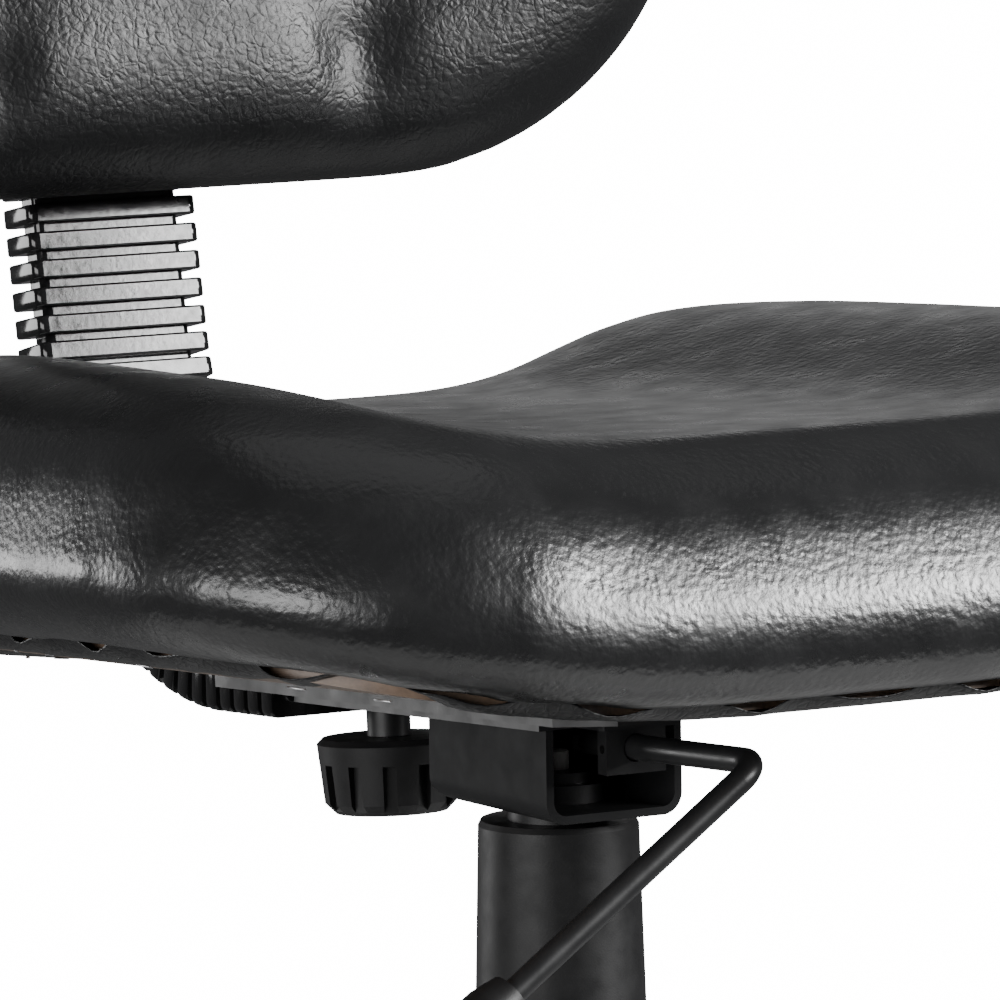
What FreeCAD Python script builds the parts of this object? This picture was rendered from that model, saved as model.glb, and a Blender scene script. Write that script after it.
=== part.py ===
import FreeCAD, Part
import math
import os

os.makedirs("parts", exist_ok=True)

Vec = FreeCAD.Vector
UP = Vec(0, 0, 1)
RIGHT = Vec(1, 0, 0)
BACK = Vec(0, 1, 0)

# A drafting stool, in millimetres. The origin is on the floor under the column's axis, +Z is up,
# the sitter faces -Y and the backrest stands on the +Y side.

# Fits and gaps
SEAT_FIT = 0.03          # fixed seats, such as a taper in its socket
RUN_FIT = 0.1            # a shaft that turns or slides in its own hole
SLIDE_GAP = 0.3          # sliding covers, and soft faces beside hard ones

# Column and gas lift
CHANNEL_Z = 620.0        # underside of the seat channel at the rest height
LIFT_DOWN = 120.0        # travel from rest to the lowest seat
LIFT_UP = 120.0          # travel from rest to the highest seat
TUBE_R = 25.0
TUBE_WALL = 2.5
TUBE_BOTTOM = 60.0
TUBE_TOP = 437.0
TUBE_FLOOR = 4.0
TAPER_DEG = 0.72         # half angle of the self-locking tapers
BUSH_LENGTH = 58.0
BUSH_RIM = 3.0
CYLINDER_R = 14.0
CYLINDER_WALL = 2.2
CYLINDER_CAP = 12.0
CYLINDER_BOTTOM = 195.0
CYLINDER_RISE = 13.5     # cylinder top above the channel's underside
ROD_R = 5.0
PISTON_HEIGHT = 16.0
PISTON_TOP = 380.0
BEARING_R = 15.0
BEARING_HEIGHT = 5.0
CLIP_R = 10.0
CLIP_HEIGHT = 2.0
BUTTON_R = 4.0
BUTTON_RISE = 7.9        # button above the cylinder's top
BUTTON_DOME = 1.6
BUTTON_TRAVEL = 4.4

# Telescopic column cover
COVER_TOP_R = 28.5
COVER_WALL = 2.0
COVER_DRAFT_DEG = 1.53
COVER_DROP = 4.0         # top rim below the channel's underside
UPPER_LENGTH = 146.0
MIDDLE_LENGTH = 140.0
LOWER_LENGTH = 140.0
LOWER_BOTTOM = 330.0
MIDDLE_BOTTOM = 402.0
COVER_STEP = 0.5         # room between one cover's lip and the widest part of the next
COVER_BEAD = 5.0
COVER_FLOOR = 3.0

# Taper socket and seat channel
SOCKET_R = 18.0
SOCKET_ABOVE = 9.6
SOCKET_BELOW = 14.0
CHANNEL_W = 55.0
CHANNEL_FRONT = -39.0
CHANNEL_REAR = 43.0
CHANNEL_H = 31.5         # height on the column's axis
CHANNEL_WALL = 3.0
CHANNEL_FOLD_R = 8.0

# Seat: pressed tray, plywood pan and cushion, made level and then leaned back together
SEAT_TILT_DEG = 3.0
PLATE_T = 3.0
PLATE_HALF_W = 80.0
PLATE_FRONT = -150.0
PLATE_REAR = 120.0
PLATE_TOP = 18.5         # wings of the tray above the floor of its trough
PLATE_RIM = 7.0          # depth of the rim that hangs from the wings
PLATE_CORNER = 16.0
TAIL_END = 137.0         # rear end of the trough
TAIL_LIP = 4.0           # lips along the tail's upper edges
TROUGH_FRONT = -58.0     # its front end, narrower than the rest
TROUGH_FRONT_HALF_W = 15.0
SEAT_HALF_W = 240.0
SEAT_FRONT = -235.0
SEAT_REAR = 205.0
SEAT_FRONT_R = 120.0
SEAT_REAR_R = 110.0
PAN_T = 11.0
PAN_INSET = 32.0         # pan's edge inside the cushion's outline
PAN_FLAT = 40.0          # half width of the pan's flat middle
PAN_BEND_R = 600.0       # bend of the pan's raised sides
CUSHION_MIDDLE = 107.5   # cushion top on the centre line, above the trough's underside
DISH_FLAT = 24.0         # half width of the dish's level middle
DISH_CREST = 160.0       # crest of the side bolsters from the centre line
DISH_RISE = 26.0         # crest above the middle
DISH_WIDEN = 42.0        # the dish is this much wider at each side in front than behind
DISH_WIDE_Y = -120.0
DISH_NARROW_Y = 120.0
FADE_START = -60.0       # from here forward the bolsters sink into the front edge
FADE_SHARE = 0.95
DISH_LINES = 29          # lines across that carry the dish's surface
DISH_ROWS = 15
TOP_EDGE_R = 50.0        # roll of the cushion's upper edge
BOTTOM_EDGE_R = 30.0     # roll down to the pan
BOLT_R = 3.0
BOLT_HEAD_R = 5.5
BOLT_HEAD_H = 4.0
BOLT_X = 50.0
BOLT_FRONT = -36.0
BOLT_REAR = 54.0
NUT_BARREL_R = 4.2
NUT_FLANGE_R = 9.0
NUT_FLANGE_T = 1.5

# Lift lever
LEVER_R = 4.5
LEVER_PIVOT_Y = -51.0
LEVER_PIVOT_RISE = 27.2  # above the channel's underside
LEVER_RISE_DEG = 3.0
LEVER_FRONT = 84.8       # pivot to the bend
LEVER_BEND_R = 10.0
LEVER_DROOP_DEG = 34.5
LEVER_ARM = 123.0        # bend to the grip
LEVER_TIP_HALF_W = 6.0
LEVER_TIP_T = 5.0
LEVER_TIP_PAST = 6.5     # tip past the column's axis
LEVER_TIP_LENGTH = 30.0
SADDLE_T = 6.0
SADDLE_HALF_W = 12.0
SADDLE_BELOW = 9.0       # below the lever's axis
SADDLE_PLAY = 0.5        # room round the rod for the lever to rock
LEVER_PIN_R = 1.5        # cross pin that the lever rocks on
LEVER_PIN_HALF = 10.0
GRIP_R = 10.0
GRIP_LENGTH = 86.0
GRIP_SOCKET = 66.0
GRIP_NECK = 2.0          # step down at the grip's mouth

# Back bar, its guide and its bellows
BAR_HALF_W = 25.0
BAR_T = 5.0
BAR_CORNER = 1.2
BAR_FRONT = 48.0
BAR_BEND_Y = 185.5
BAR_BEND_R = 140.0
BACK_LEAN_DEG = 10.5
BAR_UPRIGHT = 215.0
GUIDE_WALL = 2.0
GUIDE_START = 30.0
GUIDE_END = 136.0
GUIDE_GAP = 0.2
BELLOWS_HALF_W = 36.0
BELLOWS_HALF_T = 12.0
BELLOWS_GROOVE = 5.5     # depth of the grooves between ribs
BELLOWS_WALL = 1.8
BELLOWS_CORNER_R = 3.0
RIB_PITCH = 10.7
RIB_T = 6.8
COLLAR_START = 138.5
COLLAR_END = 143.0
BELLOWS_UPRIGHT = 73.0   # straight stretch above the bend

# Clamp knobs
KNOB_Y = 121.5           # depth knob behind the column's axis
KNOB_R = 26.5
KNOB_H = 27.5
KNOB_DROP = 13.5         # boss between the trough and the knob
BOSS_R = 8.0
STUD_R = 4.0
SMALL_KNOB_R = 19.0
SMALL_KNOB_H = 22.0
SMALL_DROP = 9.0
KNOB_SLOTS = 12
SLOT_W = 5.0
SLOT_DEPTH = 2.6
SLOT_START = 9.0         # top of the grip slots below the knob's top face
KNOB_EDGE_R = 4.0
KNOB_TAPER = 0.92        # foot of a knob as a share of its top

# Backrest, made upright and then leaned with the bar
BRACKET_LENGTH = 92.0
BRACKET_HALF_W = 33.0
BRACKET_WALL = 3.0
FLANGE_HALF_W = 62.0
FLANGE_T = 4.0
FLANGE_LENGTH = 110.0
FLANGE_FRONT = 18.0      # front face of the flange, ahead of the bar's mid plane
SHELL_T = 8.0
SHELL_INSET = 12.0
SHELL_FLAT = 64.0
SHELL_BEND_R = 420.0
BACK_HALF_W = 232.0
BACK_BOTTOM = 48.0       # lower edge above the end of the bar's bend
BACK_HEIGHT = 330.0
BACK_CORNER_R = 130.0
BACK_PAD_T = 66.0
BACK_FRONT_R = 460.0     # bend of the cushion's front, flatter than the shell
BACK_EDGE_R = 40.0
BACK_HEM_R = 20.0
PAD_CHANNEL_X = 78.0     # soft channels either side of the lumbar panel
PAD_CHANNEL_DEPTH = 8.0
PAD_CHANNEL_R = 26.0
BACK_BOLT_X = 48.0
BACK_BOLT_LOW = 16.0
BACK_BOLT_HIGH = 96.0

# Star base and casters
ARMS = 5
HUB_R = 42.0
HUB_BOTTOM = 64.0
HUB_TOP = 122.0
ARM_REACH = 285.0
ARM_ROOT_HALF_W = 24.0
ARM_TIP_HALF_W = 16.0
ARM_ROOT_TOP = 116.0
ARM_TIP_TOP = 92.0
ARM_BOTTOM = 66.0
ARM_BEVEL = 7.0
ARM_WALL = 4.5
ARM_RIBS = 4
ARM_RIB_T = 3.0
BOSS_TIP_R = 19.0
BOSS_BOTTOM = 59.0
SOCKET_DEPTH = 32.0
STEM_R = 5.5
WHEEL_R = 25.0
WHEEL_W = 17.0
WHEEL_CHAMFER = 3.0
WHEEL_DISH = 4.0
WHEEL_RIM = 6.0
TRAIL = 18.0
AXLE_R = 4.0
AXLE_DEPTH = 12.0
WEB_HALF_T = 5.5
WHEEL_GAP = 0.8
HOOD_GAP = 1.8
HOOD_T = 2.2
HOOD_FROM_DEG = 15.0
HOOD_TO_DEG = 172.0
CASTER_TURN_DEG = 130.0  # each caster stands turned to one side of its arm
YOKE_BOSS_R = 11.0
YOKE_GAP = 1.0           # yoke's top face under the base's boss
WEB_R = 19.0

# Foot ring
FOOT_Z = 236.0
FOOT_RING_R = 222.0
FOOT_TUBE_R = 11.0
FOOT_TUBE_WALL = 2.0
FOOT_HUB_R = 33.0
FOOT_HUB_H = 52.0
FOOT_SPOKES = 4
FOOT_SPOKE_R = 6.0
FOOT_SPOKE_FALL = 12.0   # ring's mid plane below the hub's middle


def export(name, shape):
    shape.exportStep("parts/" + name + ".step")


def polygon_face(points):
    return Part.Face(Part.makePolygon(points + points[:1]))


def revolved(profile):
    """Turn (radius, height) points about the Z axis."""
    return polygon_face([Vec(r, 0, z) for r, z in profile]).revolve(Vec(0, 0, 0), UP, 360)


def cylinder(radius, low, high, x=0.0, y=0.0):
    return Part.makeCylinder(radius, high - low, Vec(x, y, low), UP)


def box(low, high):
    size = high - low
    return Part.makeBox(size.x, size.y, size.z, low)


def arc(start, middle, end):
    return Part.Arc(start, middle, end).toShape()


def line(start, end):
    return Part.LineSegment(start, end).toShape()


def moved(shape, offset):
    shape.translate(offset)
    return shape


def turned(shape, axis, degrees, centre=Vec(0, 0, 0)):
    shape.rotate(centre, axis, degrees)
    return shape


def spun(shape, count, step):
    return turned(shape.copy(), UP, 360.0 / count * step)


def fused(shapes):
    whole = shapes[0].multiFuse(shapes[1:])
    return whole.removeSplitter()


def drift(length, degrees):
    """Sideways run of a line that leaves its axis by an angle."""
    return length * math.tan(math.radians(degrees))


def bend_rise(x, flat, radius):
    """Rise of a sheet that is flat in the middle and bends up at its sides."""
    out = max(abs(x) - flat, 0.0)
    return radius - math.sqrt(radius ** 2 - out ** 2)


def rounded_outline(half_w, low, high, low_r, high_r):
    """Rectangle in X and Y with one corner radius at each end."""
    k = 1.0 - math.sqrt(0.5)
    corners = [(1, low, low_r, 1), (1, high, high_r, -1), (-1, high, high_r, -1), (-1, low, low_r, 1)]
    arcs = []
    for side, y, r, inward in corners:
        on_end = Vec(side * (half_w - r), y, 0)
        on_side = Vec(side * half_w, y + inward * r, 0)
        middle = Vec(side * (half_w - k * r), y + inward * k * r, 0)
        pair = (on_end, middle, on_side)
        if side * inward < 0:
            pair = (on_side, middle, on_end)
        arcs.append(pair)
    edges = []
    for index, (start, middle, end) in enumerate(arcs):
        edges.append(arc(start, middle, end))
        edges.append(line(end, arcs[(index + 1) % len(arcs)][0]))
    return Part.Face(Part.Wire(edges))


def bent_sheet(half_w, low, high, thickness, flat, radius):
    """Sheet along Y, flat in the middle, with both sides bent up."""
    swing = math.asin((half_w - flat) / radius)

    def point(side, share, r):
        angle = swing * share
        return Vec(side * (flat + r * math.sin(angle)), low, radius - r * math.cos(angle))

    inner = radius - thickness
    edges = [line(point(-1, 0, radius), point(1, 0, radius)),
             arc(point(1, 0, radius), point(1, 0.5, radius), point(1, 1, radius)),
             line(point(1, 1, radius), point(1, 1, inner)),
             arc(point(1, 1, inner), point(1, 0.5, inner), point(1, 0, inner)),
             line(point(1, 0, inner), point(-1, 0, inner)),
             arc(point(-1, 0, inner), point(-1, 0.5, inner), point(-1, 1, inner)),
             line(point(-1, 1, inner), point(-1, 1, radius)),
             arc(point(-1, 1, radius), point(-1, 0.5, radius), point(-1, 0, radius))]
    return Part.Face(Part.Wire(edges)).extrude(Vec(0, high - low, 0))


def bent_block(half_w, low, high, base, flat, radius):
    """Everything above the upper face of a bent sheet, as a block along Y."""
    swing = math.asin((half_w - flat) / radius)
    top = base + 2 * half_w

    def point(side, share):
        angle = swing * share
        return Vec(side * (flat + radius * math.sin(angle)), low, base + radius * (1.0 - math.cos(angle)))

    left = point(-1, 1)
    right = point(1, 1)
    edges = [arc(left, point(-1, 0.5), point(-1, 0)), line(point(-1, 0), point(1, 0)),
             arc(point(1, 0), point(1, 0.5), right), line(right, Vec(right.x, low, top)),
             line(Vec(right.x, low, top), Vec(left.x, low, top)), line(Vec(left.x, low, top), left)]
    return Part.Face(Part.Wire(edges)).extrude(Vec(0, high - low, 0))


def dish_height(x, y):
    """Height of the cushion's top: level in the middle, with bolsters that sink towards the front."""
    wider = DISH_WIDEN * min(max((DISH_NARROW_Y - y) / (DISH_NARROW_Y - DISH_WIDE_Y), 0.0), 1.0)
    share = min(max((abs(x) - DISH_FLAT - wider) / (DISH_CREST - DISH_FLAT), 0.0), 1.0)
    ahead = max((FADE_START - y) / (FADE_START - SEAT_FRONT), 0.0)
    fade = 1.0 - FADE_SHARE * min(ahead, 1.0) ** 2
    return CUSHION_MIDDLE + DISH_RISE * fade * (1.0 - math.cos(math.pi * share)) / 2


def dished_block():
    """Everything above the cushion's top, under one smooth surface."""
    half_w = SEAT_HALF_W + PAN_INSET
    low = SEAT_FRONT - PAN_INSET
    high = SEAT_REAR + PAN_INSET
    rows = []
    for i in range(DISH_LINES):
        x = half_w * (2.0 * i / (DISH_LINES - 1) - 1.0)
        ys = [low + (high - low) * j / (DISH_ROWS - 1) for j in range(DISH_ROWS)]
        rows.append([Vec(x, y, dish_height(x, y)) for y in ys])
    surface = Part.BSplineSurface()
    surface.interpolate(rows)
    return surface.toShape().extrude(Vec(0, 0, SEAT_HALF_W))


def rim_edges(shape, side):
    """Edges where the walls meet the upper face (side 1) or the lower face (side -1)."""
    chosen = []
    for edge in shape.Edges:
        caps = []
        for face in shape.ancestorsOfType(edge, Part.Face):
            u_low, u_high, v_low, v_high = face.ParameterRange
            normal = face.normalAt((u_low + u_high) / 2, (v_low + v_high) / 2)
            caps.append(normal.z * side > 0.75)
        if len(caps) == 2 and caps[0] != caps[1]:
            chosen.append(edge)
    return chosen


def seat_placed(shape):
    """Lean a seat piece back and set it on the channel."""
    turned(shape, RIGHT, -SEAT_TILT_DEG)
    return moved(shape, Vec(0, 0, CHANNEL_Z + CHANNEL_H))


LOCAL_LEAN_DEG = BACK_LEAN_DEG - SEAT_TILT_DEG
BEND_SWEEP_DEG = 90.0 - LOCAL_LEAN_DEG
BAR_LEVEL = PLATE_T + GUIDE_GAP + BAR_T / 2
BEND_CENTRE = Vec(0, BAR_BEND_Y, BAR_LEVEL + BAR_BEND_R)
BEND_END = BEND_CENTRE + Vec(0, BAR_BEND_R * math.sin(math.radians(BEND_SWEEP_DEG)),
                             -BAR_BEND_R * math.cos(math.radians(BEND_SWEEP_DEG)))


def on_bar(shape):
    """Lean a back piece with the bar and set it on the end of the bar's bend, in the seat's frame."""
    turned(shape, RIGHT, -LOCAL_LEAN_DEG)
    return moved(shape, BEND_END)


def back_placed(shape):
    return seat_placed(on_bar(shape))


# Column tube, bush, bearing, rod and pressure cylinder
def column_tube():
    foot_r = TUBE_R - drift(HUB_TOP - TUBE_BOTTOM, TAPER_DEG)
    outer = revolved([(0, TUBE_BOTTOM), (foot_r, TUBE_BOTTOM), (TUBE_R, HUB_TOP), (TUBE_R, TUBE_TOP), (0, TUBE_TOP)])
    bore = cylinder(TUBE_R - TUBE_WALL, TUBE_BOTTOM + TUBE_FLOOR, TUBE_TOP)
    rod_hole = cylinder(ROD_R + RUN_FIT, TUBE_BOTTOM, TUBE_TOP)
    return outer.cut(bore).cut(rod_hole)


def guide_bush():
    sleeve_r = TUBE_R - TUBE_WALL - SEAT_FIT
    hole_r = CYLINDER_R + RUN_FIT
    low = TUBE_TOP - BUSH_LENGTH
    rim = TUBE_TOP + BUSH_RIM
    return revolved([(hole_r, low), (sleeve_r, low), (sleeve_r, TUBE_TOP), (TUBE_R, TUBE_TOP), (TUBE_R, rim),
                     (hole_r, rim)])


def thrust_bearing():
    low = TUBE_BOTTOM + TUBE_FLOOR
    ring = cylinder(BEARING_R, low, low + BEARING_HEIGHT)
    return ring.cut(cylinder(ROD_R + RUN_FIT, low, low + BEARING_HEIGHT))


def piston_rod():
    low = TUBE_BOTTOM - 2 * CLIP_HEIGHT
    shoulder = TUBE_BOTTOM + TUBE_FLOOR + BEARING_HEIGHT + RUN_FIT
    rod = cylinder(ROD_R, low, PISTON_TOP)
    collar = cylinder((ROD_R + BEARING_R) / 2, shoulder, shoulder + BEARING_HEIGHT)
    piston = cylinder(CYLINDER_R - CYLINDER_WALL - RUN_FIT, PISTON_TOP - PISTON_HEIGHT, PISTON_TOP)
    return fused([rod, collar, piston])


def rod_clip():
    high = TUBE_BOTTOM - RUN_FIT
    ring = cylinder(CLIP_R, high - CLIP_HEIGHT, high)
    ring = ring.cut(cylinder(ROD_R + SEAT_FIT, high - CLIP_HEIGHT, high))
    mouth = box(Vec(-ROD_R / 2, 0, high - CLIP_HEIGHT), Vec(ROD_R / 2, CLIP_R, high))
    return ring.cut(mouth)


def socket_radius(z):
    """Radius of the cylinder's upper taper at a height."""
    return CYLINDER_R - drift(max(z - (CHANNEL_Z - SOCKET_BELOW), 0.0), TAPER_DEG)


def pressure_cylinder():
    top = CHANNEL_Z + CYLINDER_RISE
    taper = CHANNEL_Z - SOCKET_BELOW
    outer = revolved([(0, CYLINDER_BOTTOM), (CYLINDER_R, CYLINDER_BOTTOM), (CYLINDER_R, taper),
                      (socket_radius(top), top), (0, top)])
    bore = cylinder(CYLINDER_R - CYLINDER_WALL, CYLINDER_BOTTOM + CYLINDER_CAP, taper - SOCKET_R)
    rod_hole = cylinder(ROD_R + RUN_FIT, CYLINDER_BOTTOM, CYLINDER_BOTTOM + CYLINDER_CAP)
    button_hole = cylinder(BUTTON_R + RUN_FIT, taper, top)
    return outer.cut(bore).cut(rod_hole).cut(button_hole)


def release_button():
    top = CHANNEL_Z + CYLINDER_RISE + BUTTON_RISE
    low = CHANNEL_Z - SOCKET_BELOW + BUTTON_TRAVEL + SLIDE_GAP
    body = cylinder(BUTTON_R, low, top - BUTTON_DOME)
    dome_r = (BUTTON_R ** 2 + BUTTON_DOME ** 2) / (2 * BUTTON_DOME)
    dome = Part.makeSphere(dome_r, Vec(0, 0, top - dome_r))
    cap = dome.common(cylinder(BUTTON_R, top - BUTTON_DOME, top))
    return fused([body, cap])


# Telescopic cover in three pieces
def upper_cover():
    top = CHANNEL_Z - COVER_DROP
    spread = drift(UPPER_LENGTH, COVER_DRAFT_DEG)
    inner_r = COVER_TOP_R - COVER_WALL
    bottom = top - UPPER_LENGTH
    shell = revolved([(inner_r + spread, bottom), (COVER_TOP_R + spread, bottom),
                      (COVER_TOP_R, top - COVER_WALL), (COVER_TOP_R - COVER_WALL / 2, top),
                      (SOCKET_R + SEAT_FIT, top), (SOCKET_R + SEAT_FIT, top - COVER_WALL),
                      (inner_r, top - COVER_WALL)])
    return shell


def middle_radius():
    """Outer radius of the middle cover's top rim."""
    return COVER_TOP_R + drift(UPPER_LENGTH, COVER_DRAFT_DEG) + COVER_STEP + COVER_WALL


def bead_radius():
    return middle_radius() + drift(MIDDLE_LENGTH, COVER_DRAFT_DEG) + COVER_STEP


def middle_cover():
    top_r = middle_radius()
    spread = drift(MIDDLE_LENGTH, COVER_DRAFT_DEG)
    top = MIDDLE_BOTTOM + MIDDLE_LENGTH
    bead = MIDDLE_BOTTOM + COVER_BEAD
    return revolved([(top_r + spread - COVER_WALL, MIDDLE_BOTTOM), (bead_radius(), MIDDLE_BOTTOM),
                     (bead_radius(), bead), (top_r + spread, bead), (top_r, top - COVER_WALL / 2),
                     (top_r - COVER_WALL / 2, top), (top_r - COVER_WALL, top)])


def lower_cover():
    inner_r = bead_radius() + SLIDE_GAP
    outer_r = inner_r + COVER_WALL
    top = LOWER_BOTTOM + LOWER_LENGTH
    return revolved([(TUBE_R + SEAT_FIT, LOWER_BOTTOM), (outer_r, LOWER_BOTTOM), (outer_r, top - COVER_WALL / 2),
                     (outer_r - COVER_WALL / 2, top), (inner_r, top), (inner_r, LOWER_BOTTOM + COVER_FLOOR),
                     (TUBE_R + SEAT_FIT, LOWER_BOTTOM + COVER_FLOOR)])


# Socket, channel and mount plate
def taper_socket():
    low = CHANNEL_Z - SOCKET_BELOW
    high = CHANNEL_Z + SOCKET_ABOVE
    return revolved([(socket_radius(low) + SEAT_FIT, low), (SOCKET_R, low), (SOCKET_R, high),
                     (socket_radius(high) + SEAT_FIT, high)])


def above_plate(depth):
    """Block over a plane that lies this far under the tilted plate."""
    reach = 2 * SEAT_HALF_W
    block = box(Vec(-reach, -reach, -depth), Vec(reach, reach, reach))
    return seat_placed(block)


def seat_channel():
    half = CHANNEL_W / 2
    tall = CHANNEL_H + CHANNEL_FOLD_R
    outer = box(Vec(-half, CHANNEL_FRONT, 0), Vec(half, CHANNEL_REAR, tall))
    folds = [edge for edge in outer.Edges if abs(edge.CenterOfMass.z) < 1e-6
             and edge.CenterOfMass.y > CHANNEL_FRONT + 1e-6]
    outer = outer.makeFillet(CHANNEL_FOLD_R, folds)
    inner_r = CHANNEL_FOLD_R - CHANNEL_WALL
    inner = box(Vec(CHANNEL_WALL - half, CHANNEL_FRONT, CHANNEL_WALL),
                Vec(half - CHANNEL_WALL, CHANNEL_REAR - CHANNEL_WALL, tall))
    folds = [edge for edge in inner.Edges if abs(edge.CenterOfMass.z - CHANNEL_WALL) < 1e-6
             and edge.CenterOfMass.y > CHANNEL_FRONT + 1e-6]
    inner = inner.makeFillet(inner_r, folds)
    tray = moved(outer.cut(inner), Vec(0, 0, CHANNEL_Z))
    tray = tray.cut(above_plate(0.0))
    return tray.cut(cylinder(SOCKET_R + SEAT_FIT, CHANNEL_Z, CHANNEL_Z + CHANNEL_WALL))


def bolt_places():
    return [(side * BOLT_X, y) for side in (-1, 1) for y in (BOLT_FRONT, BOLT_REAR)]


def trough_half_w():
    """Outer half width of the trough that holds the bar and its guide."""
    return BAR_HALF_W + GUIDE_GAP + GUIDE_WALL + PLATE_T


def trough(half_w, front, rear):
    """Folded channel open at the top, standing on the tray's lowest plane."""
    outer = box(Vec(-half_w, front, 0), Vec(half_w, rear, PLATE_TOP))
    inner = box(Vec(PLATE_T - half_w, front, PLATE_T), Vec(half_w - PLATE_T, rear, PLATE_TOP))
    return outer, inner


def mount_plate():
    """Pressed tray: wings under the pan, a hanging rim, a trough along the middle and the knob's boss."""
    cut = PLATE_CORNER
    right = [Vec(PLATE_HALF_W - cut, PLATE_FRONT, 0), Vec(PLATE_HALF_W, PLATE_FRONT + cut, 0),
             Vec(PLATE_HALF_W, PLATE_REAR - cut, 0), Vec(PLATE_HALF_W - cut, PLATE_REAR, 0)]
    left = [Vec(-p.x, p.y, 0) for p in reversed(right)]
    outline = polygon_face(right + left)
    low = PLATE_TOP - PLATE_RIM
    wings = moved(outline.extrude(Vec(0, 0, PLATE_RIM)), Vec(0, 0, low))
    hollow = outline.makeOffset2D(-PLATE_T, 2).extrude(Vec(0, 0, PLATE_RIM - PLATE_T))
    wings = wings.cut(moved(hollow, Vec(0, 0, low)))
    half = trough_half_w()
    wide, wide_inner = trough(half, CHANNEL_FRONT, TAIL_END)
    narrow, narrow_inner = trough(TROUGH_FRONT_HALF_W, TROUGH_FRONT, CHANNEL_FRONT)
    lips = box(Vec(-half - TAIL_LIP, PLATE_REAR, PLATE_TOP - PLATE_T), Vec(half + TAIL_LIP, TAIL_END, PLATE_TOP))
    end = box(Vec(-half, CHANNEL_FRONT, 0), Vec(half, CHANNEL_FRONT + PLATE_T, PLATE_TOP))
    boss = cylinder(BOSS_R, -KNOB_DROP, 0, 0, KNOB_Y)
    sheet = fused([wings, wide, narrow, lips]).cut(wide_inner).cut(narrow_inner)
    end = end.cut(box(Vec(PLATE_T - TROUGH_FRONT_HALF_W, CHANNEL_FRONT, PLATE_T),
                      Vec(TROUGH_FRONT_HALF_W - PLATE_T, CHANNEL_FRONT + PLATE_T, PLATE_TOP)))
    sheet = fused([sheet, end, boss])
    sheet = sheet.cut(cylinder(STUD_R + RUN_FIT, -KNOB_DROP, PLATE_T, 0, KNOB_Y))
    for x, y in bolt_places():
        sheet = sheet.cut(cylinder(BOLT_R + RUN_FIT, PLATE_TOP - PLATE_T, PLATE_TOP, x, y))
    return seat_placed(sheet)


def lever_pivot():
    return Vec(0, LEVER_PIVOT_Y, CHANNEL_Z + LEVER_PIVOT_RISE)


def lever_saddle():
    """Lug under the plate's front edge with the hole that the lever rocks in."""
    pivot = lever_pivot()
    low = pivot.z - SADDLE_BELOW
    tall = CHANNEL_H + CHANNEL_FOLD_R
    lug = box(Vec(-SADDLE_HALF_W, pivot.y - SADDLE_T / 2, low),
              Vec(SADDLE_HALF_W, pivot.y + SADDLE_T / 2, CHANNEL_Z + tall))
    lug = lug.cut(above_plate(0.0))
    hole = Part.makeCylinder(LEVER_R + SADDLE_PLAY, 2 * SADDLE_T, pivot - BACK * SADDLE_T, BACK)
    pin = Part.makeCylinder(LEVER_PIN_R + RUN_FIT, 2 * SADDLE_HALF_W, pivot - RIGHT * SADDLE_HALF_W, RIGHT)
    return lug.cut(hole).cut(pin)


def lever_rod():
    """Built level along -Y from the pivot, then raised to its angle at the pivot."""
    corner = Vec(0, -LEVER_FRONT, 0)
    droop = math.radians(LEVER_DROOP_DEG)
    arm = Vec(-math.cos(droop), 0, -math.sin(droop))
    start = Vec(0, -LEVER_PIVOT_Y + LEVER_TIP_PAST - LEVER_TIP_LENGTH / 2, 0)
    bend_in = corner + BACK * LEVER_BEND_R
    bend_out = corner + arm * LEVER_BEND_R
    centre = bend_in + arm * LEVER_BEND_R
    inward = (corner - centre).normalize()
    bend = Part.Arc(bend_in, centre + inward * LEVER_BEND_R, bend_out)
    end = corner + arm * (LEVER_ARM + GRIP_SOCKET)
    path = Part.Wire([line(start, bend_in), bend.toShape(), line(bend_out, end)])
    section = Part.Wire(Part.makeCircle(LEVER_R, start, BACK))
    rod = path.makePipeShell([section], True, False)
    tip_end = -LEVER_PIVOT_Y + LEVER_TIP_PAST
    tip = box(Vec(-LEVER_TIP_HALF_W, tip_end - LEVER_TIP_LENGTH, -LEVER_TIP_T / 2),
              Vec(LEVER_TIP_HALF_W, tip_end, LEVER_TIP_T / 2))
    shoulders = [edge for edge in tip.Edges if abs(abs(edge.CenterOfMass.x) - LEVER_TIP_HALF_W) < 1e-6
                 and abs(edge.CenterOfMass.z) < 1e-6]
    tip = tip.makeChamfer(LEVER_TIP_HALF_W / 2, shoulders)
    flat = box(Vec(-LEVER_R, tip_end - LEVER_TIP_LENGTH * 0.75, -LEVER_R), Vec(LEVER_R, tip_end, -LEVER_TIP_T / 2))
    flat_top = box(Vec(-LEVER_R, tip_end - LEVER_TIP_LENGTH * 0.75, LEVER_TIP_T / 2), Vec(LEVER_R, tip_end, LEVER_R))
    pin = Part.makeCylinder(LEVER_PIN_R, 2 * LEVER_PIN_HALF, RIGHT * -LEVER_PIN_HALF, RIGHT)
    rod = fused([rod.cut(flat).cut(flat_top), tip, pin])
    turned(rod, RIGHT, -LEVER_RISE_DEG)
    return moved(rod, lever_pivot())


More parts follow.
